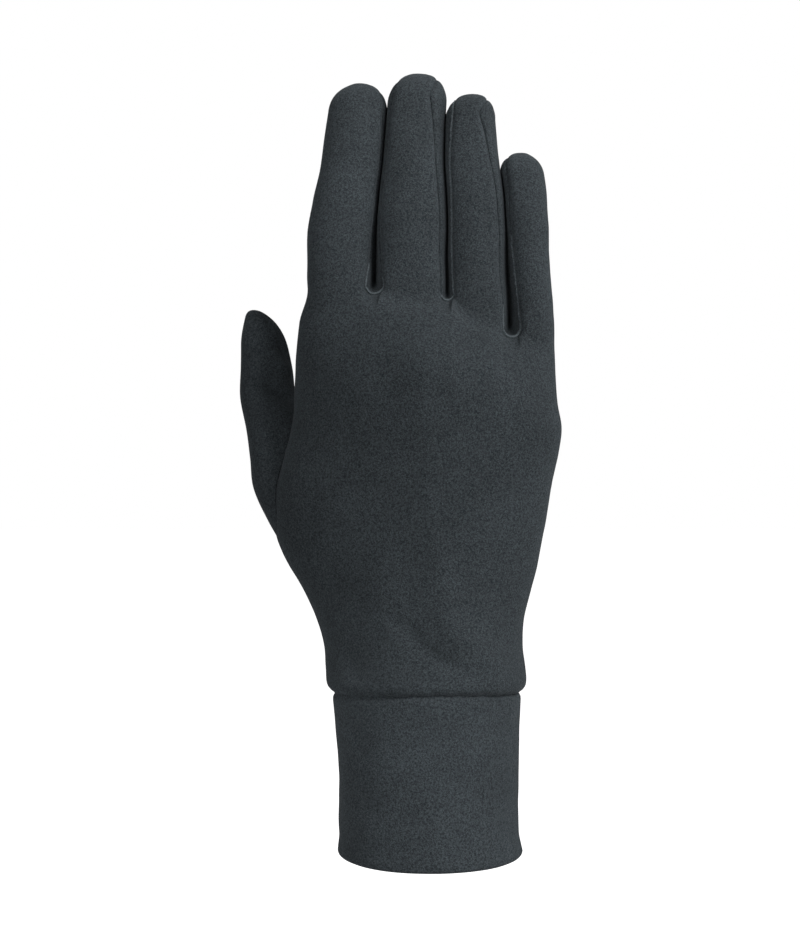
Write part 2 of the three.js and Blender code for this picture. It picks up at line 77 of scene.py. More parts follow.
@dataclass(frozen=True)
class GloveSizes:
    """The glove's own sizes in millimetres and degrees, and its shares and squarenesses."""

    cloth_wall: float = 1.2
    cuff_height: float = 51.9
    cuff_width: float = 58.0
    cuff_depth: float = 47.0
    cuff_wall: float = 2.4
    hem_roll: float = 0.9
    wrist_gap: float = 0.3
    palm_length: float = 127.0
    palm_depth: float = 30.0
    wrist_width: float = 63.0
    wrist_depth: float = 46.0
    knuckle_blend: float = 11.0
    root_reach: float = 45.0
    crotch_blend: float = 5.0
    crotch_breadth: float = 7.5
    arch_corner: float = 2.5
    side_seam_angle: float = 15.0
    index_crotch_rise: float = 2.6
    little_crotch_rise: float = -11.0
    fourchette_width: float = 10.0
    finger_flex: float = 7.0
    flex_start: float = 0.75
    finger_gap: float = 2.8
    middle_offset: float = -5.8
    middle_sway: float = 2.4
    sway_power: int = 3
    thumb_length: float = 88.0
    thumb_width: float = 21.0
    thumb_depth: float = 22.0
    finger_squareness: float = 2.45
    root_squareness: float = 3.6
    root_share: float = 0.2
    root_seam: float = 0.77
    strip_flare: float = 1.08
    seam_limit: float = 0.97
    tip_squareness: float = 2.1
    strip_end_angle: float = 60.0


@dataclass(frozen=True)
class FingerShape:
    """One finger's sizes in millimetres, and how far forward the seams on its two sides run."""

    name: str
    width: float
    depth: float
    length: float
    thumb_seam: float
    little_seam: float


@dataclass(frozen=True)
class FingerGap:
    """Clear space between two fingers as shares of finger_gap, and where along them it closes."""

    root: float
    tip: float
    closed: float


FINGERS = (
    FingerShape("index", 20.0, 20.5, 67.5, 0.0, 0.75),
    FingerShape("middle", 22.0, 21.0, 72.2, 0.9, 1.32),
    FingerShape("ring", 18.4, 20.0, 72.0, 1.0, 1.3),
    FingerShape("little", 14.0, 18.0, 57.8, 0.85, 0.0),
)
GAPS = (FingerGap(1.0, 0.1, 0.5), FingerGap(0.607, 0.1, 0.5), FingerGap(1.357, 0.1, 0.8))
# A column that lies in a gap is numbered from here, and a finger's column by its finger.
GAP_OWNER = 10
# The last row of a rounded tip lies this many degrees round it, and a single point closes it.
LAST_TURN = 88.0
TIP_TOP = 90.0
# The least that a section of a rounded tip, or a direction's length, is divided by.
LEAST_SECTION = 0.001
NEAR_ZERO = 1e-9


def signed_power(value: Array, squareness: Values) -> Array:
    """Raises to 2 / squareness and keeps the sign, for rounded-square sections."""
    return np.sign(value) * np.abs(value) ** (2.0 / squareness)


def mix(start: Values, end: Values, share: Values) -> Values:
    """Blends linearly from start to end."""
    return start + (end - start) * share


def smoothstep(value: Values, low: Values, high: Values) -> Values:
    """Eases from 0 at low to 1 at high."""
    share = np.clip((value - low) / (high - low), 0.0, 1.0)
    return share * share * (3.0 - 2.0 * share)


def eased(value: float, low: float, high: float) -> float:
    """Eases one number from 0 at low to 1 at high."""
    return float(smoothstep(np.array(value), low, high))


def crowded(count: int) -> Array:
    """Shares from 0 to 1 that crowd towards both ends, where the seams are."""
    return 0.5 - 0.5 * np.cos(np.pi * np.linspace(0.0, 1.0, count + 1))


class SectionTable:
    """A short table of sections, read smoothly between its rows."""

    def __init__(self, names: tuple[str, ...], rows: tuple[tuple[float, ...], ...]) -> None:
        """Keeps each column of the rows under its name.

        Args:
            names: The column names. The first is the place along the form.
            rows: The sections, in order of place.
        """
        values = np.array(rows, float)
        self._places = values[:, 0]
        self._columns = {name: values[:, place] for place, name in enumerate(names)}

    def read(self, name: str, at: Values) -> Array:
        """Reads one column on a smooth curve.

        Args:
            name: The column.
            at: Places along the form.

        Returns:
            The column's value at each place.
        """
        places = self._places
        column = self._columns[name]
        at = np.asarray(at, float)
        slopes = (np.append(column[1:], column[-1]) - np.insert(column[:-1], 0, column[0])) / (
            np.append(places[1:], places[-1]) - np.insert(places[:-1], 0, places[0]))
        row = np.searchsorted(places[1:-1], at, side="left")
        span = places[row + 1] - places[row]
        share = np.clip((at - places[row]) / span, 0.0, 1.0)
        leave = share * (1.0 - share) ** 2 * span * slopes[row]
        arrive = share * share * (share - 1.0) * span * slopes[row + 1]
        return mix(column[row], column[row + 1], share * share * (3.0 - 2.0 * share)) + leave + arrive


# The hand's half widths and depths, as shares of the wrist's and the knuckles', up the palm.
HAND_TABLE = SectionTable(
    ("rise", "knuckle", "thumb_side", "little_side", "back", "palm", "square"),
    (
        (0.0, 0.0, 1.0, 0.93, 0.96, 0.96, 2.1),
        (0.017, 0.0, 1.05, 0.97, 1.0, 1.0, 2.1),
        (0.045, 0.0, 1.07, 0.98, 0.985, 0.985, 2.1),
        (0.109, 0.1, 1.075, 0.93, 0.93, 0.93, 2.2),
        (0.179, 0.25, 1.12, 0.905, 0.9, 0.93, 2.3),
        (0.249, 0.4, 1.2, 0.93, 0.89, 0.98, 2.4),
        (0.319, 0.6, 1.295, 0.945, 0.92, 1.07, 2.45),
        (0.382, 0.75, 1.345, 0.95, 0.96, 1.15, 2.5),
        (0.444, 0.85, 1.335, 0.965, 0.99, 1.21, 2.5),
        (0.522, 1.0, 1.28, 0.975, 1.03, 1.25, 2.5),
        (0.6, 1.0, 1.205, 1.022, 1.03, 1.2, 2.5),
        (0.678, 1.0, 1.14, 1.048, 1.01, 1.13, 2.5),
        (0.771, 1.0, 1.11, 1.01, 0.97, 1.06, 2.5),
        (0.872, 1.0, 1.085, 1.0, 0.87, 0.97, 2.5),
        (1.0, 1.0, 1.03, 0.995, 0.7, 0.8, 2.5),
    ),
)
# Each finger's width, its depth and its strips' width, as shares of their own sizes.
FINGER_TABLE = SectionTable(
    ("along", "index", "middle", "ring", "little", "depth", "strip"),
    (
        (0.0, 1.01, 0.96, 0.955, 0.87, 1.0, 1.0),
        (0.17, 1.045, 0.98, 0.975, 0.87, 0.985, 1.0),
        (0.34, 1.085, 1.02, 1.0, 0.88, 0.955, 1.0),
        (0.5, 1.055, 0.985, 1.0, 0.91, 0.92, 1.0),
        (0.67, 1.0, 0.9, 0.985, 0.97, 0.885, 1.02),
        (0.84, 0.985, 0.87, 0.93, 0.98, 0.845, 1.06),
        (1.0, 0.95, 0.86, 0.87, 0.98, 0.79, 1.1),
    ),
)
# The thumb's line, as shares of its length, and its width and depth, as shares of their own.
THUMB_TABLE = SectionTable(
    ("along", "across", "behind", "width", "depth"),
    (
        (0.0, 0.0, 0.055, 0.98, 0.95),
        (0.1, -0.055, 0.095, 1.16, 1.1),
        (0.2, -0.11, 0.127, 1.22, 1.14),
        (0.32, -0.17, 0.153, 1.19, 1.12),
        (0.435, -0.196, 0.172, 1.09, 1.06),
        (0.55, -0.224, 0.181, 0.99, 1.0),
        (0.67, -0.259, 0.181, 0.885, 0.92),
        (0.78, -0.265, 0.176, 0.815, 0.84),
        (0.88, -0.275, 0.167, 0.72, 0.75),
        (0.95, -0.288, 0.158, 0.64, 0.66),
        (1.0, -0.31, 0.15, 0.58, 0.6),
    ),
)
# The cuff's outline from the wrist seam down, and how far it follows the hand's outline.
CUFF_TABLE = SectionTable(
    ("drop", "wrist", "thumb_side", "little_side", "depth"),
    (
        (0.0, 1.0, 1.06, 0.99, 0.97),
        (0.2, 0.45, 1.03, 0.975, 0.97),
        (0.5, 0.1, 1.005, 0.98, 0.97),
        (0.8, 0.0, 1.015, 0.985, 0.985),
        (1.0, 0.0, 0.995, 0.995, 1.0),
    ),
)
# The crest of the back up the palm: its place, the slopes on both sides and its own bend.
ARCH_TABLE = SectionTable(
    ("rise", "crest", "thumb_slope", "little_slope", "behind"),
    (
        (0.0, 14.0, 0.0, 0.0, 0.0),
        (0.05, 13.0, 0.12, 0.07, 0.1),
        (0.1, 11.0, 0.2, 0.1, 0.3),
        (0.25, 5.0, 0.27, 0.06, 0.6),
        (0.5, 0.0, 0.28, 0.03, -2.2),
        (0.7, -1.6, 0.27, 0.03, -4.4),
        (0.8, -2.3, 0.22, 0.04, -4.7),
        (0.88, -3.0, 0.14, 0.05, -3.8),
        (1.0, -3.4, 0.0, 0.0, -0.3),
    ),
)


class HandForm:
    """The worn form of the glove: where each point of its outer or inner surface lies."""

    def __init__(self, sizes: GloveSizes) -> None:
        """Works out the crotches and the knuckles from the sizes.

        Args:
            sizes: The glove's sizes.
        """
        self.sizes = sizes
        self.wrist = sizes.cuff_height + sizes.wrist_gap
        middle = self.wrist + sizes.palm_length
        self.crotches = (middle + sizes.index_crotch_rise, middle, middle + sizes.little_crotch_rise)
        left_z = self.crotches[0]
        right_z = self.crotches[2]
        left = self.finger_centre(0, left_z) - self.half_width(0, left_z)
        right = self.finger_centre(3, right_z) + self.half_width(3, right_z)
        self.knuckle_width = float(right - left)
        self.knuckle_centre = float((left + right) / 2.0)

    def behind(self, z: Values) -> Array:
        """The palm-ward shift of the whole form at a height.

        Args:
            z: Heights.

        Returns:
            The shift at each height.
        """
        start = self.wrist + self.sizes.flex_start * self.sizes.palm_length
        reach = self.wrist + self.sizes.palm_length + FINGERS[1].length - start
        return self.sizes.finger_flex * (np.maximum(0.0, z - start) / reach) ** 2

    def arch(self, x: Array, z: Values) -> Array:
        """The palm-ward shift of the hand: its bend, and its fall on both sides of a crest line.

        Args:
            x: Places across the hand.
            z: Heights.

        Returns:
            The shift at each place.
        """
        rise = np.clip((z - self.wrist) / self.sizes.palm_length, 0.0, 1.0)
        away = x - ARCH_TABLE.read("crest", rise)
        corner = self.sizes.arch_corner
        bend = np.sqrt(away ** 2 + corner ** 2) - corner
        thumb_slope = ARCH_TABLE.read("thumb_slope", rise)
        little_slope = ARCH_TABLE.read("little_slope", rise)
        return ARCH_TABLE.read("behind", rise) + np.where(away < 0.0, thumb_slope, little_slope) * bend

    def clear(self, between: int, z: Values) -> Array:
        """The space between two neighbouring fingers at a height.

        Args:
            between: The gap, from the thumb side.
            z: Heights.

        Returns:
            The width of the space at each height.
        """
        left = self.finger_centre(between, z) + self.half_width(between, z)
        right = self.finger_centre(between + 1, z) - self.half_width(between + 1, z)
        return right - left

    def root_height(self, index: int, share: Values) -> Array:
        """The height of a finger's root line, from its thumb side to its other side.

        Args:
            index: The finger, from the thumb side.
            share: The share of the way across the finger.

        Returns:
            The height of the root line there.
        """
        left = self.crotches[max(index - 1, 0)]
        right = self.crotches[min(index, 2)]
        return mix(left, right, np.asarray(share, float))

    def tip_radius(self, index: int) -> float:
        """Half the finger's width where its rounded tip begins."""
        finger = FINGERS[index]
        return finger.width / 2.0 * float(FINGER_TABLE.read(finger.name, 1.0))

    def tip_base(self, index: int) -> float:
        """The height where the rounded tip begins."""
        return float(self.root_height(index, 0.5)) + FINGERS[index].length - self.tip_radius(index)

    def along(self, index: int, z: Values) -> Array:
        """The share of a finger's length at a height."""
        root = float(self.root_height(index, 0.5))
        return np.clip((z - root) / (self.tip_base(index) - root), 0.0, 1.0)

    def rooted(self, index: int, z: Values) -> Array:
        """Eases from 1 at a finger's root to 0 a little way up it."""
        return 1.0 - smoothstep(self.along(index, z), 0.0, self.sizes.root_share)

    def squareness(self, index: int, inner: Values, z: Values) -> Array:
        """How square a finger's section is: squarer at its root, on the sides that face a gap."""
        return mix(self.sizes.finger_squareness, self.sizes.root_squareness, self.rooted(index, z) * inner)

    def half_width(self, index: int, z: Values) -> Array:
        """Half a finger's width at a height."""
        finger = FINGERS[index]
        return finger.width / 2.0 * FINGER_TABLE.read(finger.name, self.along(index, z))

    def half_depth(self, index: int, z: Values) -> Array:
        """Half a finger's depth at a height."""
        return FINGERS[index].depth / 2.0 * FINGER_TABLE.read("depth", self.along(index, z))

    def finger_centre(self, index: int, z: Values) -> Array:
        """The middle finger sways, and the others stand beside it.

        Args:
            index: The finger, from the thumb side.
            z: Heights.

        Returns:
            The place of the finger's middle across the hand.
        """
        sizes = self.sizes
        if index == 1:
            share = np.clip((z - self.crotches[1]) / FINGERS[1].length, 0.0, 1.0)
            return sizes.middle_offset + sizes.middle_sway * share ** sizes.sway_power
        towards = 1 if index == 0 else index - 1
        gap = GAPS[0 if index == 0 else index - 1]
        closing = smoothstep(self.along(index, z), 0.0, gap.closed)
        clear = sizes.finger_gap * mix(gap.root, gap.tip, closing)
        step = self.half_width(index, z) + clear + self.half_width(towards, z)
        return self.finger_centre(towards, z) + (-step if index == 0 else step)

    def hand_point(self, side: Side, angle: Array, z: Values, grow: float) -> Array:
        """A point of the hand below the fingers.

        Args:
            side: The back or the palm.
            angle: Turns from the middle of that side towards its edges, in radians.
            z: The height.
            grow: How far the surface is moved outwards.

        Returns:
            The points, with a last axis of three.
        """
        sizes = self.sizes
        rise = np.clip((z - self.wrist) / sizes.palm_length, 0.0, 1.0)
        follow = np.clip(HAND_TABLE.read("knuckle", rise), 0.0, 1.0)
        half = mix(sizes.wrist_width, self.knuckle_width, follow) / 2.0
        depth = mix(sizes.wrist_depth, sizes.palm_depth, follow) / 2.0
        left = half * HAND_TABLE.read("thumb_side", rise)
        right = half * HAND_TABLE.read("little_side", rise)
        square = HAND_TABLE.read("square", rise)
        turned = signed_power(np.cos(angle), square)
        spread = signed_power(np.sin(angle), square)
        back = depth * HAND_TABLE.read("back", rise) + grow
        palm = depth * HAND_TABLE.read("palm", rise) + grow
        x = follow * self.knuckle_centre + (right - left) / 2.0 + ((left + right) / 2.0 + grow) * spread
        y = self.behind(z) + side * np.where(side * turned < 0.0, back, palm) * turned
        return stacked(x, y + self.arch(x, z), z)

    def finger_point(
        self, index: int, side: Side, angle: Array, z: Values, tip: Array, grow: float
    ) -> Array:
        """A point of a finger, with tip as the angle round its rounded tip in degrees.

        Args:
            index: The finger, from the thumb side.
            side: The back or the palm.
            angle: Turns from the middle of that side, in radians.
            z: The height, at most where the rounded tip begins.
            tip: The angle round the rounded tip, or 0 below it.
            grow: How far the surface is moved outwards.

        Returns:
            The points, with a last axis of three.
        """
        sizes = self.sizes
        shrink = signed_power(np.cos(np.radians(tip)), sizes.tip_squareness)
        lift = signed_power(np.sin(np.radians(tip)), sizes.tip_squareness)
        high = z + (self.tip_radius(index) + grow) * lift
        low = np.minimum(high, self.tip_base(index))
        half = (self.half_width(index, low) + grow) * shrink
        depth = (self.half_depth(index, low) + grow) * shrink
        outside = {0: -1.0, len(FINGERS) - 1: 1.0}.get(index, 0.0)
        square = self.squareness(index, np.sin(angle) * outside <= 0.0, low)
        x = self.finger_centre(index, high) + half * signed_power(np.sin(angle), square)
        y = self.behind(high) + side * depth * signed_power(np.cos(angle), square)
        return stacked(x, y, high)

    def seam_angle(self, index: int, turn: int, z: Values, tip: Array, ease: float) -> Array:
        """The angle where a fourchette's seam runs.

        Args:
            index: The finger, from the thumb side.
            turn: -1 on the finger's thumb side and 1 on the other.
            z: The height.
            tip: The angle round the rounded tip in degrees.
            ease: How far the cloth is drawn back from the seam.

        Returns:
            The angles, in radians.
        """
        sizes = self.sizes
        finger = FINGERS[index]
        shrink = np.maximum(signed_power(np.cos(np.radians(tip)), sizes.tip_squareness), LEAST_SECTION)
        narrowing = np.maximum(0.0, 1.0 - (tip / sizes.strip_end_angle) ** 2)
        forward = finger.thumb_seam if turn < 0 else finger.little_seam
        share = FINGER_TABLE.read("strip", self.along(index, z))
        half = sizes.fourchette_width / 2.0 * forward * share * sizes.strip_flare * narrowing
        flat = np.minimum(sizes.seam_limit, half / (self.half_depth(index, z) * shrink))
        flat = mix(flat, np.maximum(flat, sizes.root_seam), self.rooted(index, z))
        root_depth = float(self.half_depth(index, self.root_height(index, 0.5)))
        return np.arccos(flat ** (self.squareness(index, 1.0, z) / 2.0)) + ease / root_depth

    def web_point(
        self, between: int, side: Side, angles: tuple[Array, Array], across: Array, grow: float
    ) -> Array:
        """A point of the U-shaped floor of a crotch.

        Args:
            between: The gap, from the thumb side.
            side: The back or the palm.
            angles: The angles where the floor leaves the left finger's wall and meets the right one's.
            across: The share of the way from one wall to the other.
            grow: How far the surface is moved outwards.

        Returns:
            The points, with a last axis of three.
        """
        z = np.full(np.shape(angles[0]), self.crotches[between])
        start = self.finger_point(between, side, angles[0], z, np.zeros_like(z), grow)
        end = self.finger_point(between + 1, side, angles[1], z, np.zeros_like(z), grow)
        turn = np.pi * np.asarray(across)[..., None]
        place = mix(start, end, (1.0 - np.cos(turn)) / 2.0)
        drop = np.sin(turn[..., 0]) * np.linalg.norm(end - start, axis=-1) / 2.0
        place[..., 2] -= drop
        return place


def stacked(x: Array, y: Array, z: Array) -> Array:
    """Joins three coordinates on a last axis."""
    return np.stack(np.broadcast_arrays(x, y, z), axis=-1).astype(float)


class ClothShell:
    """A cloth piece: outer points with inner partners, its faces, and a rim on every open edge."""

    def __init__(self, name: str) -> None:
        """Starts an empty piece.

        Args:
            name: The piece's name.
        """
        self.name = name
        self.outer = np.zeros((0, 3))
        self.inner = np.zeros((0, 3))
        self.quads: list[Array] = []
        self.lines: dict[str, Array] = {}
        self.edges: dict[Edge, list[Array]] = {kind: [] for kind in Edge}

    def add(self, outer: Array, inner: Array) -> Array:
        """Adds a grid of points.

        Args:
            outer: The outer points, with a last axis of three.
            inner: Their inner partners.

        Returns:
            The points' numbers, in the grid's shape.
        """
        first = len(self.outer)
        self.outer = np.vstack([self.outer, outer.reshape(-1, 3)])
        self.inner = np.vstack([self.inner, inner.reshape(-1, 3)])
        return np.arange(first, len(self.outer)).reshape(outer.shape[:-1])

    def weave(self, rows: Array) -> None:
        """Joins the neighbours of a grid of point numbers with faces."""
        corners = np.stack([rows[:-1, :-1], rows[:-1, 1:], rows[1:, 1:], rows[1:, :-1]], axis=-1)
        self.quads.append(corners.reshape(-1, 4))

    def faces(self) -> Array:
        """All faces of the outer surface."""
        return np.vstack(self.quads)

    def normals(self) -> Array:
        """The outward direction at each outer point.

        Returns:
            One direction of length 1 for each outer point.
        """
        faces = self.faces()
        points = self.outer[faces]
        cross = np.cross(points[:, 2] - points[:, 0], points[:, 3] - points[:, 1])
        total = np.zeros_like(self.outer)
        for corner in range(4):
            np.add.at(total, faces[:, corner], cross)
        lengths = np.linalg.norm(total, axis=1, keepdims=True)
        total /= np.maximum(lengths, NEAR_ZERO)
        outwards = np.sum(total * (self.outer - self.inner))
        return total if outwards > 0.0 else -total

    def raise_by(self, heights: Array) -> None:
        """Moves the cloth outwards along its normals, by a height at each point.

        Args:
            heights: The height at each point, negative where it sinks.
        """
        shift = self.normals() * heights[:, None]
        self.outer = self.outer + shift
        self.inner = self.inner + shift

    def shift(self, move: Array) -> None:
        """Moves both faces of the cloth by a step at each point."""
        self.outer = self.outer + move
        self.inner = self.inner + move

    def mark(self, kind: Edge, numbers: Array) -> None:
        """Notes a line of points that lies on an edge of one kind."""
        self.edges[kind].append(np.asarray(numbers))

    def distance_to(self, kind: Edge) -> Array:
        """The distance from each outer point to the nearest edge of one kind."""
        lines = [dense_line(self.outer[numbers]) for numbers in self.edges[kind]]
        return distances(self.outer, np.vstack(lines))

    def to_object(self) -> bpy.types.Object:
        """Makes the closed mesh, with its rims.

        Returns:
            The new object.
        """
        faces = self.faces()
        count = len(self.outer)
        pairs = np.vstack([faces[:, [corner, (corner + 1) % 4]] for corner in range(4)])
        keys = pairs[:, 0] * count + pairs[:, 1]
        back_keys = pairs[:, 1] * count + pairs[:, 0]
        open_pairs = pairs[~np.isin(keys, back_keys) & (pairs[:, 0] != pairs[:, 1])]
        start = open_pairs[:, 0]
        end = open_pairs[:, 1]
        rims = np.stack([end, start, start + count, end + count], axis=-1)
        everything = np.vstack([faces, faces[:, ::-1] + count, rims])
        return mesh_object(self.name, np.vstack([self.outer, self.inner]), clean_faces(everything))


def clean_faces(faces: Array) -> list[list[int]]:
    """Drops repeated corners, so that a collapsed side leaves a triangle.

    Args:
        faces: Four point numbers for each face.

    Returns:
        The faces with three corners or more.
    """
    kept = []
    for face in faces.tolist():
        corners = [corner for place, corner in enumerate(face) if corner != face[place - 1]]
        if len(set(corners)) > 2:
            kept.append(corners)
    return kept


def mesh_object(name: str, points: Array, faces: list[list[int]]) -> bpy.types.Object:
    """Makes a smooth-shaded object from points in millimetres.

    Args:
        name: The object's name.
        points: The points.
        faces: The faces, as lists of point numbers.

    Returns:
        The new object, with its faces turned outwards.
    """
    mesh = bpy.data.meshes.new(name)
    mesh.from_pydata((points * METRES).tolist(), [], faces)
    mesh.validate()
    if signed_volume(mesh) < 0.0:
        mesh.flip_normals()
    mesh.shade_smooth()
    obj = bpy.data.objects.new(name, mesh)
    bpy.context.scene.collection.objects.link(obj)
    return obj


def signed_volume(mesh: bpy.types.Mesh) -> float:
    """Six times the volume inside a closed mesh, negative where its faces point inwards.

    Args:
        mesh: The mesh.

    Returns:
        The volume, times six.
    """
    mesh.calc_loop_triangles()
    points = np.zeros(len(mesh.vertices) * 3)
    mesh.vertices.foreach_get("co", points)
    points = points.reshape(-1, 3)
    corners = np.zeros(len(mesh.loop_triangles) * 3, dtype=np.int32)
    mesh.loop_triangles.foreach_get("vertices", corners)
    first, second, third = points[corners.reshape(-1, 3)].transpose(1, 0, 2)
    return float(np.sum(first * np.cross(second, third)))


def dense_line(points: Array, step: float = 0.2) -> Array:
    """A line through the same points, with one every step millimetres.

    Args:
        points: The line's points.
        step: The distance from one new point to the next.

    Returns:
        The new points, with the last one at the line's end.
    """
    lengths = np.linalg.norm(np.diff(points, axis=0), axis=1)
    travelled = np.insert(np.cumsum(lengths), 0, 0.0)
    places = np.arange(0.0, travelled[-1] + step, step)
    return np.stack([np.interp(places, travelled, points[:, axis]) for axis in range(3)], axis=-1)


def search_tree(targets: Array) -> kdtree.KDTree:
    """A tree that finds the nearest of some targets.

    Args:
        targets: The targets, as rows of three.

    Returns:
        The tree.
    """
    tree = kdtree.KDTree(len(targets))
    for number, target in enumerate(targets):
        tree.insert(target, number)
    tree.balance()
    return tree


def distances(points: Array, targets: Array) -> Array:
    """The distance from each point to the nearest target."""
    tree = search_tree(targets)
    return np.array([tree.find(point)[2] for point in points])


@dataclass(frozen=True)
class Fold:
    """A soft fold of the cloth, along a line on the back or the thumb.

    line is a run of (x, z) places, height is outwards, and width is half the fold's breadth. It fades
    at its ends: its height follows length_share of half a wave, from first_share of it on.
    """

    line: tuple[tuple[float, float], ...]
    height: float
    width: float
    step: float = 0.5
    length_share: float = 0.86
    first_share: float = 0.07

    def relief(self, points: Array) -> Array:
        """How far the fold lifts each point.

        Args:
            points: The points.

        Returns:
            The height at each point, negative in a crease.
        """
        line = np.array([(x, 0.0, z) for x, z in self.line])
        dense = dense_line(line, self.step)
        flat = points * np.array([1.0, 0.0, 1.0])
        tree = search_tree(dense)
        found = [tree.find(point) for point in flat]
        away = np.array([hit[2] for hit in found])
        along = np.array([hit[1] for hit in found]) / max(len(dense) - 1, 1)
        fade = np.sin(np.pi * np.clip(along * self.length_share + self.first_share, 0.0, 1.0))
        return self.height * np.exp(-((away / self.width) ** 2)) * fade


BACK_FOLDS = (
    Fold(((-36.0, 150.0), (-18.0, 155.0), (0.0, 156.0), (16.0, 152.0), (33.0, 143.0)), 1.3, 12.0),
    Fold(((-14.0, 78.5), (-6.5, 73.0), (-2.0, 67.5), (6.5, 62.0), (13.0, 59.0)), -1.2, 2.6),
    Fold(((2.0, 79.0), (8.5, 72.0), (15.5, 66.0), (24.0, 60.0)), 1.25, 4.2),
    Fold(((-31.0, 163.0), (-32.0, 146.0)), 0.7, 6.0),
    Fold(((-3.0, 165.0), (-4.0, 146.0)), 0.7, 6.0),
    Fold(((19.0, 166.0), (21.0, 150.0)), 0.6, 6.0),
    Fold(((-13.0, 163.0), (-15.0, 145.0)), -0.5, 4.5),
    Fold(((-26.0, 69.0), (-24.0, 61.0), (-20.0, 56.0)), -0.5, 2.6),
    Fold(((1.0, 166.0), (3.5, 156.0), (9.0, 149.0), (18.0, 143.0)), 0.55, 6.0),
    Fold(((-20.0, 166.0), (-22.0, 150.0), (-20.0, 136.0)), 0.4, 7.0),
    Fold(((-3.0, 138.0), (-3.0, 124.0), (-2.5, 108.0)), -0.45, 7.0),
    Fold(((18.0, 120.0), (14.0, 108.0), (12.0, 98.0)), 0.5, 8.0),
    Fold(((26.0, 160.0), (25.0, 150.0), (27.0, 138.0)), 0.35, 6.0),
    Fold(((-12.0, 52.0), (-13.0, 66.0), (-15.0, 82.0), (-13.0, 100.0)), 1.5, 9.0),
    Fold(((13.0, 70.0), (19.0, 62.0), (22.0, 54.0)), 0.8, 5.0),
)
THUMB_FOLDS = (
    Fold(((-57.0, 152.0), (-53.0, 151.0), (-49.0, 149.0), (-44.0, 146.0)), -2.3, 2.6),
    Fold(((-52.0, 165.5), (-49.0, 164.5), (-46.0, 160.0)), -1.3, 1.8),
    Fold(((-58.0, 141.0), (-52.0, 142.0), (-44.0, 140.0)), 1.2, 3.4),
    Fold(((-51.0, 159.5), (-48.0, 157.5), (-45.0, 156.0)), 1.0, 2.2),
)


@dataclass(frozen=True)
class SeamShape:
    """How the cloth lies beside a sewn edge, in millimetres."""

    roll: float = 0.95
    sink: float = 0.75
    puff: float = 0.3
    puff_away: float = 2.0
    puff_breadth: float = 1.5

    def relief(self, away: Array) -> Array:
        """The height beside the seam: rolled in at the edge, and puffed next to it.

        Args:
            away: The distance of each point from the seam.

        Returns:
            The height at each point.
        """
        near = np.clip(1.0 - away / self.roll, 0.0, 1.0)
        rolled = -self.sink * (1.0 - np.sqrt(np.maximum(0.0, 1.0 - near ** 2)))
        puffed = self.puff * np.exp(-(((away - self.puff_away) / self.puff_breadth) ** 2))
        return rolled + puffed


def unevenness(points: Array, period: float, seed: float) -> Array:
    """Smooth unevenness between about -1 and 1 at each point.

    Args:
        points: The points.
        period: The breadth of one wave.
        seed: A number that chooses the pattern.

    Returns:
        The unevenness at each point.
    """
    scale = 1.0 / period
    offset = Vector((seed, seed * 0.7, -seed))
    return np.array([noise.noise(Vector(point) * scale + offset) for point in points.tolist()])


@dataclass(frozen=True)
class Waves:
    """Soft unevenness of the cloth: its height and period in millimetres, and its seed."""

    height: float
    period: float
    seed: float

    def relief(self, points: Array, shift: float = 0.0) -> Array:
        """How far the waves lift each point, with shift added to the seed."""
        return self.height * unevenness(points, self.period, self.seed + shift)


@dataclass(frozen=True)
class WristCurve:
    """How the wrist seam rises from its sides to the middle of the back and of the palm."""

    back_rise: float = 2.0
    palm_rise: float = 0.6
    half_width: float = 33.0
    reach: float = 9.0
    side_band: float = 8.0
    pucker: float = 0.16
    pucker_period: float = 7.3
    second_pucker: float = 0.6
    second_turn: float = 2.3
    second_phase: float = 1.0

    def _pucker(self, x: Array) -> Array:
        """The small waves of the sewn seam.

        Args:
            x: Places across the hand.

        Returns:
            The height of the waves at each place.
        """
        turn = 2.0 * np.pi * x / self.pucker_period
        second = np.sin(self.second_turn * turn + self.second_phase)
        return self.pucker * (np.sin(turn) + self.second_pucker * second)

    def lift(self, points: Array, seam_height: float) -> Array:
        """The upward step at each point near the seam.

        Args:
            points: The points.
            seam_height: The seam's height at its sides.

        Returns:
            The steps, with a last axis of three.
        """
        across = np.clip(np.abs(points[..., 0]) / self.half_width, 0.0, 1.0)
        on_back = smoothstep(-points[..., 1], -self.side_band, self.side_band)
        rise = mix(self.palm_rise, self.back_rise, on_back)
        near = np.exp(-(((points[..., 2] - seam_height) / self.reach) ** 2))
        step = (rise * (1.0 - across ** 2) + self._pucker(points[..., 0])) * near
        return stacked(np.zeros_like(step), np.zeros_like(step), step)


WRIST_CURVE = WristCurve()


@dataclass(frozen=True)
class Fineness:
    """How many rows and columns the cloth has."""

    outer_finger: int = 34
    inner_finger: int = 30
    crotch: int = 12
    strip: int = 12
    web: int = 26
    hand_rows: int = 150
    finger_rows: int = 80
    tip_rows: int = 16


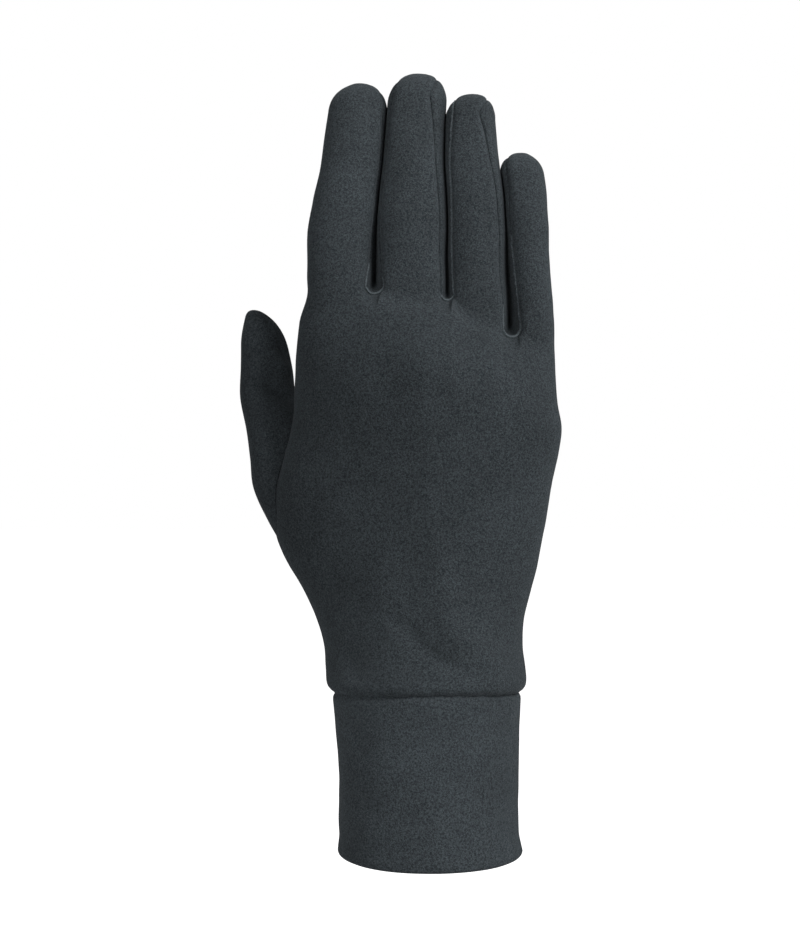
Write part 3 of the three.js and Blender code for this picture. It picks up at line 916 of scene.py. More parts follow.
@dataclass
class HandPanel:
    """The back or the palm of the glove, with its side of all four fingers."""

    name: str
    form: HandForm
    side: Side
    fineness: Fineness
    ease: float = -0.03
    narrowest: float = 0.05
    first_rises: tuple[float, ...] = (0.0, 0.0012, 0.0028, 0.0048, 0.0075, 0.011, 0.015)
    even_rise: float = 0.02
    broad_waves: Waves = Waves(0.22, 16.0, 3.0)
    fine_waves: Waves = Waves(0.08, 5.0, 9.0)
    seam: SeamShape = SeamShape()
    side_seam: SeamShape = SeamShape(roll=1.2, sink=0.8, puff=0.15)
    wrist_seam: SeamShape = SeamShape(roll=1.1, sink=0.8, puff=0.2, puff_away=2.8, puff_breadth=1.8)

    def __post_init__(self) -> None:
        """Starts the cloth, and works out how far the panel wraps round the hand."""
        self.shell = ClothShell(self.name)
        self.wrap = math.radians(90.0 - self.side * self.form.sizes.side_seam_angle)

    def build(self) -> ClothShell:
        """Builds the hand and the fingers, with their seams.

        Returns:
            The cloth.
        """
        wall = -self.form.sizes.cloth_wall
        roots = [self._roots(grow) for grow in (0.0, wall)]
        owners = roots[0][1]
        outer_root = roots[0][0]
        inner_root = roots[1][0]
        rows = self._hand_rows(outer_root, inner_root, owners)
        for index in range(len(FINGERS)):
            self._finger(index, rows[-1][owners == index])
        self.shell.mark(Edge.WRIST_SEAM, rows[0])
        self.shell.mark(Edge.SIDE_SEAM, rows[:, 0])
        self.shell.lines["thumb_side"] = rows[:, 0]
        self.shell.mark(Edge.SIDE_SEAM, rows[:, -1])
        for between in range(len(GAPS)):
            crotch = rows[-1][owners == GAP_OWNER + between]
            self.shell.mark(Edge.FINGER_SEAM, crotch)
            self.shell.lines[f"crotch_{between}"] = crotch
        self._relief()
        return self.shell

    def _finger_angle(self, index: int, shares: Array, z: Array, tip: Array) -> Array:
        """The angle of each column of a finger.

        Args:
            index: The finger, from the thumb side.
            shares: The columns' shares of the way across.
            z: Heights.
            tip: The angle round the rounded tip in degrees.

        Returns:
            The angles, in radians.
        """
        form = self.form
        shrink = np.maximum(np.cos(np.radians(tip)), self.narrowest)
        depth = form.half_depth(index, form.root_height(index, shares))
        inset = self.ease / (depth * shrink)
        ended = tip >= form.sizes.strip_end_angle
        low_z = np.minimum(z, form.tip_base(index))
        edges = []
        for turn in (-1, 1):
            outside = (index == 0 and turn < 0) or (index == len(FINGERS) - 1 and turn > 0)
            seam = form.seam_angle(index, turn, low_z, tip, self.ease)
            edge = np.where(ended, np.pi / 2.0 + inset, seam)
            edges.append(turn * (self.wrap + inset if outside else edge))
        return mix(edges[0], edges[1], shares)

    def _roots(self, grow: float) -> tuple[Array, Array]:
        """Each column's place at the finger roots, and the finger or gap that owns it.

        Args:
            grow: How far the surface is moved outwards.

        Returns:
            The places, and the number of each one's owner.
        """
        form = self.form
        places = []
        owners = []
        for index in range(len(FINGERS)):
            shares = crowded(self._steps(index))
            z = form.root_height(index, shares)
            none = np.zeros_like(z)
            angle = self._finger_angle(index, shares, z, none)
            places.append(form.finger_point(index, self.side, angle, z + grow, none, grow))
            owners += [index] * len(shares)
            if index == len(FINGERS) - 1:
                break
            across = np.linspace(0.0, 1.0, self.fineness.crotch + 1)[1:-1]
            level = np.full(across.shape, form.crotches[index])
            none = np.zeros_like(level)
            left = form.seam_angle(index, 1, level, none, self.ease)
            right = -form.seam_angle(index + 1, -1, level, none, self.ease)
            places.append(form.web_point(index, self.side, (left, right), across, grow))
            owners += [GAP_OWNER + index] * len(across)
        return np.vstack(places), np.array(owners)

    def _steps(self, index: int) -> int:
        """The number of columns across a finger."""
        outside = index in (0, len(FINGERS) - 1)
        return self.fineness.outer_finger if outside else self.fineness.inner_finger

    def _hand_rows(self, outer_root: Array, inner_root: Array, owners: Array) -> Array:
        """Adds the hand below the fingers.

        Args:
            outer_root: The outer points at the finger roots.
            inner_root: Their inner partners.
            owners: The number of each column's owner.

        Returns:
            The point numbers, in rows from the wrist seam up.
        """
        form = self.form
        column_z = outer_root[:, 2].copy()
        for index in range(len(FINGERS)):
            own = owners == index
            column_z[own] = form.root_height(index, crowded(self._steps(index)))
        line_z = column_z.copy()
        for between, crotch in enumerate(form.crotches):
            line_z[owners == GAP_OWNER + between] = crotch
        share = np.clip((outer_root[:, 0] - form.knuckle_centre) / (form.knuckle_width / 2.0), -1.0, 1.0)
        square = float(HAND_TABLE.read("square", 1.0))
        angle = np.arcsin(np.sign(share) * np.abs(share) ** (square / 2.0))
        wrapped = self.side * (outer_root[:, 1] - form.behind(column_z)) < 0.0
        angle = np.where(wrapped, np.sign(angle) * np.pi - angle, angle)
        even = np.linspace(self.even_rise, 1.0, self.fineness.hand_rows)
        rises = np.append(np.array(self.first_rises), even)[:, None]
        start = form.wrist - form.sizes.wrist_gap / 2.0
        z = mix(start, column_z[None, :], rises)
        gaps = [outer_root[owners == GAP_OWNER + between, 0].mean() for between in range(len(GAPS))]
        nearest = np.min(np.abs(outer_root[:, :1] - np.array(gaps)), axis=1)
        near_crotch = np.exp(-((nearest / form.sizes.crotch_breadth) ** 2))
        reach = mix(form.sizes.knuckle_blend, form.sizes.crotch_blend, near_crotch)
        blend = smoothstep(z, column_z - reach, column_z)
        rooted = smoothstep(z, line_z - form.sizes.root_reach, line_z)
        level = z + (form.wrist + form.sizes.palm_length - line_z) * rooted
        layers = []
        for grow, root in ((0.0, outer_root), (-form.sizes.cloth_wall, inner_root)):
            low = form.hand_point(self.side, angle[None, :], level, grow)
            x = mix(low[..., 0], root[None, :, 0], blend)
            y = mix(low[..., 1], root[None, :, 1], blend)
            layers.append(stacked(x, y, z + (root[:, 2] - column_z) * rises))
        rows = self.shell.add(layers[0], layers[1])
        self.shell.weave(rows)
        return rows

    def _finger(self, index: int, roots: Array) -> None:
        """Adds a finger above its root line, up to its tip.

        Args:
            index: The finger, from the thumb side.
            roots: The point numbers of its root line.
        """
        form = self.form
        steps = self._steps(index)
        shares = crowded(steps)
        below = np.linspace(0.0, 1.0, self.fineness.finger_rows + 1)[1:, None]
        z = mix(form.root_height(index, shares)[None, :], form.tip_base(index), below)
        turns = np.linspace(0.0, LAST_TURN, self.fineness.tip_rows + 1)[1:, None]
        z = np.vstack([z, np.full((len(turns), steps + 1), form.tip_base(index))])
        tip = np.vstack([np.zeros((len(below), 1)), turns]) * np.ones((1, steps + 1))
        angle = self._finger_angle(index, shares[None, :], z, tip)
        layers = [
            form.finger_point(index, self.side, angle, z, tip, grow)
            for grow in (0.0, -form.sizes.cloth_wall)
        ]
        numbers = self.shell.add(layers[0], layers[1])
        rows = np.vstack([roots[None, :], numbers])
        self.shell.weave(rows)
        base = np.full(1, form.tip_base(index))
        top = np.full(1, TIP_TOP)
        crown = [
            form.finger_point(index, self.side, np.zeros(1), base, top, grow)
            for grow in (0.0, -form.sizes.cloth_wall)
        ]
        apex = self.shell.add(crown[0], crown[1])
        self.shell.weave(np.vstack([rows[-1], np.repeat(apex, steps + 1)]))
        left = Edge.SIDE_SEAM if index == 0 else Edge.FINGER_SEAM
        right = Edge.SIDE_SEAM if index == len(FINGERS) - 1 else Edge.FINGER_SEAM
        self.shell.mark(left, np.append(rows[:, 0], apex))
        self.shell.mark(right, np.append(rows[:, -1], apex))
        self.shell.lines[f"{FINGERS[index].name}_left"] = rows[:, 0]
        self.shell.lines[f"{FINGERS[index].name}_right"] = rows[:, -1]

    def _relief(self) -> None:
        """Rolls the cloth into its seams and gives it its folds."""
        shell = self.shell
        heights = self.seam.relief(shell.distance_to(Edge.FINGER_SEAM))
        heights += self.side_seam.relief(shell.distance_to(Edge.SIDE_SEAM))
        heights += self.wrist_seam.relief(shell.distance_to(Edge.WRIST_SEAM))
        heights += self.broad_waves.relief(shell.outer, self.side)
        heights += self.fine_waves.relief(shell.outer, self.side)
        if self.side == Side.BACK:
            for fold in BACK_FOLDS:
                heights += fold.relief(shell.outer)
        shell.raise_by(heights)
        shell.shift(WRIST_CURVE.lift(shell.outer, self.form.wrist))


@dataclass
class Fourchette:
    """A strip between two fingers: down one wall, round the crotch and up the next wall.

    between is the gap that it lines, counted from the thumb side.
    """

    name: str
    form: HandForm
    between: int
    fineness: Fineness
    ease: float = 0.03
    close: float = -0.14
    swell_place: float = 0.63
    swell_breadth: float = 0.22
    swell_rise: float = 4.0
    web_lift: float = 0.9
    tip_rows: int = 12
    end_ease: float = 1.0
    waves: Waves = Waves(0.1, 9.0, 21.0)
    seam: SeamShape = SeamShape(roll=0.8, sink=0.7, puff=0.12, puff_away=1.6, puff_breadth=1.2)

    def __post_init__(self) -> None:
        """Starts the cloth."""
        self.shell = ClothShell(self.name)

    def build(self) -> ClothShell:
        """Builds the strip.

        Returns:
            The cloth.
        """
        wall = -self.form.sizes.cloth_wall
        layers = [self._layer(grow) for grow in (0.0, wall)]
        rows = self.shell.add(layers[0], layers[1])
        self.shell.weave(rows)
        self.shell.mark(Edge.FINGER_SEAM, rows[:, 0])
        self.shell.mark(Edge.FINGER_SEAM, rows[:, -1])
        heights = self.seam.relief(self.shell.distance_to(Edge.FINGER_SEAM))
        heights += self.waves.relief(self.shell.outer, self.between)
        self.shell.raise_by(heights)
        return self.shell

    def _layer(self, grow: float) -> Array:
        """The rows of one face of the strip, from the left finger's tip to the right one's.

        Args:
            grow: How far the surface is moved outwards.

        Returns:
            The points, as rows by columns by three.
        """
        left = self._wall(self.between, 1, grow)
        right = self._wall(self.between + 1, -1, grow)
        across = np.linspace(0.0, 1.0, self.fineness.web + 1)[1:-1, None]
        level = np.full((1, self.fineness.strip + 1), self.form.crotches[self.between])
        shares = crowded(self.fineness.strip)[None, :]
        angles = tuple(
            turn * self._across(index, turn, level, np.zeros_like(level), shares)
            for index, turn in ((self.between, 1), (self.between + 1, -1))
        )
        places = across * np.ones_like(shares)
        web = self.form.web_point(self.between, Side.BACK, angles, places, grow)
        crotch = self.form.crotches[self.between]
        swell = self._swell(shares)
        middle = (left[0, :, 0] + right[0, :, 0]) / 2.0
        half = self.form.clear(self.between, np.array(crotch)) / 2.0 - grow
        narrowed = 1.0 - swell * self._room(np.array(crotch)) / half
        web[..., 0] = middle + (web[..., 0] - middle) * narrowed
        layer = np.concatenate([left[::-1], web, right])
        below = np.maximum(0.0, crotch + self.swell_rise - layer[..., 2])
        layer[..., 2] += self.web_lift * swell * below
        return layer

    def _across(self, index: int, turn: int, z: Array, tip: Array, shares: Array) -> Array:
        """The strip's columns, from its back seam to its palm seam."""
        edge = self.form.seam_angle(index, turn, z, tip, self.ease)
        return mix(edge, np.pi - edge, shares)

    def _wall(self, index: int, turn: int, grow: float) -> Array:
        """The strip's rows up one finger's wall.

        Args:
            index: The finger, from the thumb side.
            turn: 1 on the gap's thumb side and -1 on its other side.
            grow: How far the surface is moved outwards.

        Returns:
            The points, as rows by columns by three.
        """
        form = self.form
        base = form.tip_base(index)
        shares_up = np.linspace(0.0, 1.0, self.fineness.finger_rows + 1)
        below = mix(form.crotches[self.between], base, shares_up)
        turns = np.linspace(0.0, form.sizes.strip_end_angle - self.end_ease, self.tip_rows)[1:]
        z = np.append(below, np.full(len(turns), base))[:, None]
        tip = np.append(np.zeros(len(below)), turns)[:, None]
        shares = crowded(self.fineness.strip)[None, :]
        angle = turn * self._across(index, turn, z, tip, shares)
        every = np.ones_like(shares)
        wall = form.finger_point(index, Side.BACK, angle, z * every, tip * every, grow)
        wall[..., 0] += turn * self._room(z) * self._swell(shares)
        return wall

    def _room(self, z: Array) -> Array:
        """How far each wall can swell before the two walls of the gap meet."""
        return np.maximum(0.0, self.form.clear(self.between, z) / 2.0 - self.close)

    def _swell(self, shares: Array) -> Array:
        """The share of the swell at each place from the back seam to the palm seam."""
        return np.exp(-(((shares - self.swell_place) / self.swell_breadth) ** 2))


@dataclass
class ThumbTube:
    """The thumb: a tube closed at its tip, sewn round its root to the palm."""

    form: HandForm
    sides: int = 110
    rows: int = 120
    tip_rows: int = 22
    tip_start: float = 0.86
    tip_squareness: float = 2.3
    turn: float = 0.15
    turn_span: tuple[float, float] = (0.25, 0.55)
    root: tuple[float, float, float] = (-31.5, 5.98, 37.12)
    front: float = 0.6
    waves: Waves = Waves(0.2, 14.0, 31.0)

    def __post_init__(self) -> None:
        """Sets the thumb's root on the palm, above the wrist."""
        self.start = np.array(self.root) + np.array([0.0, 0.0, self.form.wrist])

    def rings(self, grow: float) -> Array:
        """Rings of points up the thumb.

        Args:
            grow: How far the surface is moved outwards.

        Returns:
            The points, as rings by sides by three.
        """
        sizes = self.form.sizes
        turns = np.radians(np.linspace(0.0, LAST_TURN, self.tip_rows))
        tip = self.tip_start + (1.0 - self.tip_start) * np.sin(turns)
        along = np.append(np.linspace(0.0, self.tip_start, self.rows)[:-1], tip)[:, None]
        rounded = np.cos(turns) ** (2.0 / self.tip_squareness)
        shrink = np.append(np.ones(self.rows - 1), rounded)[:, None]
        angle = np.linspace(0.0, 2.0 * np.pi, self.sides, endpoint=False)[None, :]
        half = (sizes.thumb_width / 2.0 * THUMB_TABLE.read("width", along) + grow) * shrink
        depth = (sizes.thumb_depth / 2.0 * THUMB_TABLE.read("depth", along) + grow) * shrink
        lift = grow * np.sqrt(np.maximum(0.0, 1.0 - shrink ** 2))
        length = sizes.thumb_length
        x = self.start[0] + length * THUMB_TABLE.read("across", along)
        y = self.start[1] + length * THUMB_TABLE.read("behind", along)
        across = half * signed_power(np.cos(angle), sizes.finger_squareness)
        turned = self.turn * smoothstep(along, *self.turn_span) * across
        return stacked(
            x + across,
            y + depth * signed_power(np.sin(angle), sizes.finger_squareness) + turned,
            self.start[2] + length * along + lift,
        )

    def solid(self, name: str, grow: float) -> bpy.types.Object:
        """A filled tube with the thumb's folds pressed into it.

        Args:
            name: The object's name.
            grow: How far the surface is moved outwards.

        Returns:
            The closed object.
        """
        return tube_object(name, self._folded(self.rings(grow)))

    def _folded(self, rings: Array) -> Array:
        """Presses the folds and some unevenness into the rings.

        Args:
            rings: Rings of points up the thumb.

        Returns:
            The rings with their folds.
        """
        centres = rings.mean(axis=1, keepdims=True)
        outwards = rings - centres
        outwards /= np.maximum(np.linalg.norm(outwards, axis=-1, keepdims=True), NEAR_ZERO)
        flat = rings.reshape(-1, 3)
        heights = self.waves.relief(flat)
        facing = smoothstep(-outwards.reshape(-1, 3)[:, 1], 0.0, self.front)
        for fold in THUMB_FOLDS:
            heights += fold.relief(flat) * facing
        return rings + outwards * heights.reshape(rings.shape[:2])[..., None]


def tube_object(name: str, rings: Array) -> bpy.types.Object:
    """A closed tube through rings of points, with both ends filled.

    Args:
        name: The object's name.
        rings: The points, as rings by sides by three.

    Returns:
        The new object.
    """
    count, sides = rings.shape[:2]
    numbers = np.arange(count * sides).reshape(count, sides)
    closed = np.hstack([numbers, numbers[:, :1]])
    quads = np.stack([closed[:-1, :-1], closed[:-1, 1:], closed[1:, 1:], closed[1:, :-1]], axis=-1)
    faces = quads.reshape(-1, 4).tolist()
    faces.append(numbers[0][::-1].tolist())
    faces.append(numbers[-1].tolist())
    return mesh_object(name, rings.reshape(-1, 3), faces)


def hand_filler(
    form: HandForm, grow: float, span: tuple[float, float, int] = (0.02, 0.98, 70), sides: int = 160
) -> bpy.types.Object:
    """The hand as a filled form, to trim the thumb against.

    Args:
        form: The worn form.
        grow: How far the surface is moved outwards.
        span: The shares of the palm's length where the rings start and end, and their number.
        sides: The points round each ring.

    Returns:
        The closed object.
    """
    rises = np.linspace(*span)
    angle = np.linspace(0.0, 2.0 * np.pi, sides, endpoint=False)
    on_palm = np.cos(angle) < 0.0
    turned = np.where(on_palm, np.pi - angle, angle)
    z = (form.wrist + rises * form.sizes.palm_length)[:, None] * np.ones((1, len(angle)))
    palm = form.hand_point(Side.PALM, turned[None, :], z, grow)
    back = form.hand_point(Side.BACK, turned[None, :], z, grow)
    return tube_object("hand_filler", np.where(on_palm[None, :, None], palm, back))


def cut(obj: bpy.types.Object, cutter: bpy.types.Object) -> None:
    """Takes the cutter's space out of an object.

    Args:
        obj: The object that is cut.
        cutter: A closed object that fills the space.
    """
    modifier = obj.modifiers.new("cut", "BOOLEAN")
    modifier.operation = "DIFFERENCE"
    modifier.solver = "EXACT"
    modifier.object = cutter
    bpy.context.view_layer.update()
    graph = bpy.context.evaluated_depsgraph_get()
    mesh = bpy.data.meshes.new_from_object(obj.evaluated_get(graph))
    obj.modifiers.clear()
    obj.data = mesh
    mesh.shade_smooth()


def discard(*objects: bpy.types.Object) -> None:
    """Removes helper objects."""
    for obj in objects:
        bpy.data.objects.remove(obj)


@dataclass
class FoldedCuff:
    """The cuff: a tube of cloth folded double at its hem."""

    form: HandForm
    sides: int = 200
    seam_drops: tuple[float, ...] = (0.0, 0.004, 0.01, 0.018, 0.03)
    body_drops: tuple[float, float, int] = (0.045, 0.95, 72)
    hem_rows: int = 17
    inside_drops: tuple[float, float, int] = (0.96, 0.0, 40)
    hem_start: float = 0.86
    tuck: float = 0.9
    tuck_reach: float = 0.02
    calm_reach: float = 4.0
    broad_waves: Waves = Waves(0.3, 20.0, 41.0)
    fine_waves: Waves = Waves(0.1, 6.0, 47.0)

    def build(self) -> bpy.types.Object:
        """Builds the tube down the outside, round the hem and up the inside.

        Returns:
            The cuff.
        """
        sizes = self.form.sizes
        bend = sizes.cuff_wall / 2.0
        drops = np.append(np.array(self.seam_drops), np.linspace(*self.body_drops))
        outside = [(drop, self._tuck(drop), 0.0) for drop in drops]
        turns = np.radians(np.linspace(0.0, 180.0, self.hem_rows))
        hem = [
            (1.0, bend * (1.0 - math.cos(turn)) - sizes.hem_roll, bend * (1.0 - math.sin(turn)))
            for turn in turns
        ]
        inside = [(drop, sizes.cuff_wall, 0.0) for drop in np.linspace(*self.inside_drops)]
        rings = np.stack([self._ring(*row) for row in outside + hem + inside])
        rings = self._settled(rings)
        count = len(rings)
        numbers = np.arange(count * self.sides).reshape(count, self.sides)
        around = np.vstack([numbers, numbers[:1]])
        closed = np.hstack([around, around[:, :1]])
        quads = np.stack([closed[:-1, :-1], closed[:-1, 1:], closed[1:, 1:], closed[1:, :-1]], axis=-1)
        return mesh_object("cuff_cloth", rings.reshape(-1, 3), quads.reshape(-1, 4).tolist())

    def _tuck(self, drop: float) -> float:
        """How far the cuff draws in under the wrist seam."""
        swell = eased(drop, self.hem_start, 1.0) * self.form.sizes.hem_roll
        return self.tuck * math.exp(-((drop / self.tuck_reach) ** 2)) - swell

    def _ring(self, drop: float, inset: float, lift: float) -> Array:
        """One ring of the cuff.

        Args:
            drop: The share of the way from the wrist seam to the hem.
            inset: How far the ring lies inside the cuff's outline.
            lift: How far it is raised.

        Returns:
            The ring's points.
        """
        sizes = self.form.sizes
        angle = np.linspace(0.0, 2.0 * np.pi, self.sides, endpoint=False)
        thumb_reach = CUFF_TABLE.read("thumb_side", drop)
        little_reach = CUFF_TABLE.read("little_side", drop)
        reach = np.where(np.cos(angle) < 0.0, thumb_reach, little_reach)
        x = (sizes.cuff_width / 2.0 * reach - inset) * np.cos(angle)
        y = (sizes.cuff_depth / 2.0 * CUFF_TABLE.read("depth", drop) - inset) * np.sin(angle)
        corners = np.array([-np.pi / 2.0, 0.0, np.pi / 2.0])
        edge = self.form.hand_point(Side.BACK, corners, self.form.wrist, 0.0)
        centre = (edge[0, 0] + edge[2, 0]) / 2.0
        half = (edge[2, 0] - edge[0, 0]) / 2.0
        depth = -edge[1, 1]
        square = float(HAND_TABLE.read("square", 0.0))
        seam_x = centre + (half - inset) * signed_power(np.cos(angle), square)
        seam_y = (depth - inset) * signed_power(np.sin(angle), square)
        follow = float(CUFF_TABLE.read("wrist", drop))
        z = sizes.cuff_height * (1.0 - drop) + lift
        return stacked(mix(x, seam_x, follow), mix(y, seam_y, follow), z)

    def _settled(self, rings: Array) -> Array:
        """Gives the cuff the soft unevenness of cloth and the rise of the wrist seam.

        Args:
            rings: Rings of points round the cuff.

        Returns:
            The settled rings.
        """
        flat = rings.reshape(-1, 3)
        outwards = flat * np.array([1.0, 1.0, 0.0])
        outwards /= np.linalg.norm(outwards, axis=1, keepdims=True)
        heights = self.broad_waves.relief(flat) + self.fine_waves.relief(flat)
        calm = smoothstep(self.form.sizes.cuff_height - flat[:, 2], 0.0, self.calm_reach)
        settled = flat + outwards * (heights * calm)[:, None]
        settled += WRIST_CURVE.lift(settled, self.form.sizes.cuff_height)
        return settled.reshape(rings.shape)


@dataclass(frozen=True)
class SeamRidge:
    """A thin raised ridge of seam allowance along a line, with waves as a share of its radius."""

    name: str
    radius: float = 0.42
    sides: int = 8
    step: float = 0.5
    taper: float = 14.0
    thinnest: float = 0.02
    waves: Waves = Waves(0.22, 1.6, 5.0)

    def build(self, line: Array) -> bpy.types.Object:
        """Builds the ridge as a tapered tube.

        Args:
            line: The points that it follows.

        Returns:
            The ridge.
        """
        path = dense_line(line, self.step)
        ahead = np.gradient(path, axis=0)
        ahead /= np.linalg.norm(ahead, axis=1, keepdims=True)
        first = np.cross(ahead, np.array([0.0, 1.0, 0.0]))
        first /= np.maximum(np.linalg.norm(first, axis=1, keepdims=True), NEAR_ZERO)
        second = np.cross(ahead, first)
        share = np.linspace(0.0, 1.0, len(path))
        to_end = np.minimum(share, 1.0 - share)
        taper = np.sqrt(np.clip(to_end * self.taper, self.thinnest, 1.0))
        wobble = 1.0 + self.waves.relief(path)
        radius = (self.radius * taper * wobble)[:, None, None]
        angle = np.linspace(0.0, 2.0 * np.pi, self.sides, endpoint=False)[None, :, None]
        around = first[:, None, :] * np.cos(angle) + second[:, None, :] * np.sin(angle)
        return tube_object(self.name, path[:, None, :] + radius * around)


# The mix node's sockets for colours go by number, because their names aren't unique on it.
MIX_FACTOR = 0
MIX_START = 6
MIX_END = 7
MIX_COLOUR = 2


@dataclass(frozen=True)
class Grain:
    """One noise pattern of the cloth, and the two limits that its values are stretched between."""

    scale: float
    detail: float
    rough: float
    low: float
    high: float


@dataclass(frozen=True)
class BrushedKnit:
    """Brushed knit cloth: flecked yarn colour, a soft nap, fine bumps and a pale sheen."""

    name: str
    dark: tuple[float, float, float]
    light: tuple[float, float, float]
    fleck: float = 0.75
    bump: float = 0.7
    bump_height: float = 0.00035
    roughness: float = 0.92
    specular: float = 0.15
    sheen: float = 0.1
    sheen_roughness: float = 0.55
    sheen_tint: tuple[float, float, float, float] = (0.62, 0.7, 0.76, 1.0)
    heather: Grain = Grain(1600.0, 3.0, 0.7, 0.4, 0.62)
    fibre: Grain = Grain(3300.0, 2.0, 0.6, 0.5, 0.72)
    fibre_height: float = 0.5
    mottle: Grain = Grain(55.0, 3.0, 0.55, 0.3, 0.7)
    mottle_tones: tuple[float, float] = (0.86, 1.12)
    paleness: float = 1.9

    def material(self) -> bpy.types.Material:
        """Makes the material.

        Returns:
            The material.
        """
        material = bpy.data.materials.new(self.name)
        material.use_nodes = True
        tree = material.node_tree
        shader = tree.nodes["Principled BSDF"]
        shader.inputs["Roughness"].default_value = self.roughness
        shader.inputs["Specular IOR Level"].default_value = self.specular
        shader.inputs["Sheen Weight"].default_value = self.sheen
        shader.inputs["Sheen Roughness"].default_value = self.sheen_roughness
        shader.inputs["Sheen Tint"].default_value = self.sheen_tint
        place = tree.nodes.new("ShaderNodeTexCoord")
        heather = self._noise(tree, place, self.heather)
        fibre = self._noise(tree, place, self.fibre)
        mottle = self._noise(tree, place, self.mottle)
        heather_tone = self._ramp(tree, heather, self.heather, (0.0, 1.0))
        fibre_tone = self._ramp(tree, fibre, self.fibre, (0.0, 1.0))
        mottle_tone = self._ramp(tree, mottle, self.mottle, self.mottle_tones)
        colour = self._blend(tree, heather_tone, (*self.dark, 1.0), (*self.light, 1.0))
        pale = tuple(min(1.0, value * self.paleness) for value in self.light)
        flecked = self._overlay(tree, fibre_tone, colour, (*pale, 1.0), self.fleck)
        shaded = self._multiply(tree, mottle_tone, flecked)
        tree.links.new(shaded, shader.inputs["Base Color"])
        lumps = self._add(tree, heather, fibre)
        bump = tree.nodes.new("ShaderNodeBump")
        bump.inputs["Strength"].default_value = self.bump
        bump.inputs["Distance"].default_value = self.bump_height
        tree.links.new(lumps, bump.inputs["Height"])
        tree.links.new(bump.outputs["Normal"], shader.inputs["Normal"])
        return material

    def _noise(
        self, tree: bpy.types.NodeTree, place: bpy.types.Node, grain: Grain
    ) -> bpy.types.NodeSocket:
        """A noise pattern fixed to the cloth.

        Args:
            tree: The material's nodes.
            place: The node that gives places on the cloth.
            grain: The pattern.

        Returns:
            The pattern's value.
        """
        node = tree.nodes.new("ShaderNodeTexNoise")
        node.inputs["Scale"].default_value = grain.scale
        node.inputs["Detail"].default_value = grain.detail
        node.inputs["Roughness"].default_value = grain.rough
        tree.links.new(place.outputs["Object"], node.inputs["Vector"])
        return node.outputs["Fac"]

    def _ramp(
        self,
        tree: bpy.types.NodeTree,
        value: bpy.types.NodeSocket,
        grain: Grain,
        tones: tuple[float, float],
    ) -> bpy.types.NodeSocket:
        """Stretches a pattern's values from its own limits to two tones.

        Args:
            tree: The material's nodes.
            value: The pattern's value.
            grain: The pattern.
            tones: The lowest and the highest tone.

        Returns:
            The tone.
        """
        node = tree.nodes.new("ShaderNodeMapRange")
        node.inputs["From Min"].default_value = grain.low
        node.inputs["From Max"].default_value = grain.high
        node.inputs["To Min"].default_value = tones[0]
        node.inputs["To Max"].default_value = tones[1]
        tree.links.new(value, node.inputs["Value"])
        return node.outputs["Result"]

    def _blend(
        self,
        tree: bpy.types.NodeTree,
        factor: bpy.types.NodeSocket,
        start: tuple[float, ...],
        end: tuple[float, ...],
    ) -> bpy.types.NodeSocket:
        """Mixes two plain colours by a pattern.

        Args:
            tree: The material's nodes.
            factor: The share of the second colour.
            start: The first colour.
            end: The second colour.

        Returns:
            The mixed colour.
        """
        node = tree.nodes.new("ShaderNodeMix")
        node.data_type = "RGBA"
        node.inputs[MIX_START].default_value = start
        node.inputs[MIX_END].default_value = end
        tree.links.new(factor, node.inputs[MIX_FACTOR])
        return node.outputs[MIX_COLOUR]

    def _overlay(
        self,
        tree: bpy.types.NodeTree,
        factor: bpy.types.NodeSocket,
        base: bpy.types.NodeSocket,
        tone: tuple[float, ...],
        amount: float,
    ) -> bpy.types.NodeSocket:
        """Lays flecks of one colour over another.

        Args:
            tree: The material's nodes.
            factor: Where the flecks are.
            base: The colour below them.
            tone: The flecks' colour.
            amount: How strongly they show.

        Returns:
            The flecked colour.
        """
        weaken = tree.nodes.new("ShaderNodeMath")
        weaken.operation = "MULTIPLY"
        weaken.inputs[1].default_value = amount
        tree.links.new(factor, weaken.inputs[0])
        node = tree.nodes.new("ShaderNodeMix")
        node.data_type = "RGBA"
        node.inputs[MIX_END].default_value = tone
        tree.links.new(weaken.outputs[0], node.inputs[MIX_FACTOR])
        tree.links.new(base, node.inputs[MIX_START])
        return node.outputs[MIX_COLOUR]

    def _multiply(
        self, tree: bpy.types.NodeTree, tone: bpy.types.NodeSocket, colour: bpy.types.NodeSocket
    ) -> bpy.types.NodeSocket:
        """Makes a colour paler or darker by a pattern.

        Args:
            tree: The material's nodes.
            tone: The pattern, 1 where the colour stays as it is.
            colour: The colour.

        Returns:
            The new colour.
        """
        node = tree.nodes.new("ShaderNodeVectorMath")
        node.operation = "SCALE"
        tree.links.new(colour, node.inputs[0])
        tree.links.new(tone, node.inputs["Scale"])
        return node.outputs["Vector"]

    def _add(
        self, tree: bpy.types.NodeTree, first: bpy.types.NodeSocket, second: bpy.types.NodeSocket
    ) -> bpy.types.NodeSocket:
        """Adds two patterns, the second at the fibres' share of the height.

        Args:
            tree: The material's nodes.
            first: The first pattern.
            second: The second pattern.

        Returns:
            Their sum.
        """
        node = tree.nodes.new("ShaderNodeMath")
        node.operation = "MULTIPLY_ADD"
        node.inputs[1].default_value = self.fibre_height
        tree.links.new(second, node.inputs[0])
        tree.links.new(first, node.inputs[2])
        return node.outputs[0]


PANEL_KNIT = BrushedKnit("brushed_knit", (0.014, 0.0178, 0.0205), (0.044, 0.0525, 0.058))
STRIP_KNIT = BrushedKnit("fourchette_knit", (0.013, 0.0165, 0.019), (0.041, 0.049, 0.054))
CUFF_KNIT = BrushedKnit("cuff_knit", (0.0165, 0.021, 0.024), (0.051, 0.0605, 0.067))
# The seam ridges' knit is much paler than the panels': a painted highlight where light catches the raised
# seam edges.
SEAM_HIGHLIGHT_KNIT = BrushedKnit("seam_edge_painted_highlight_knit", (0.05, 0.06, 0.066), (0.1, 0.118, 0.128))


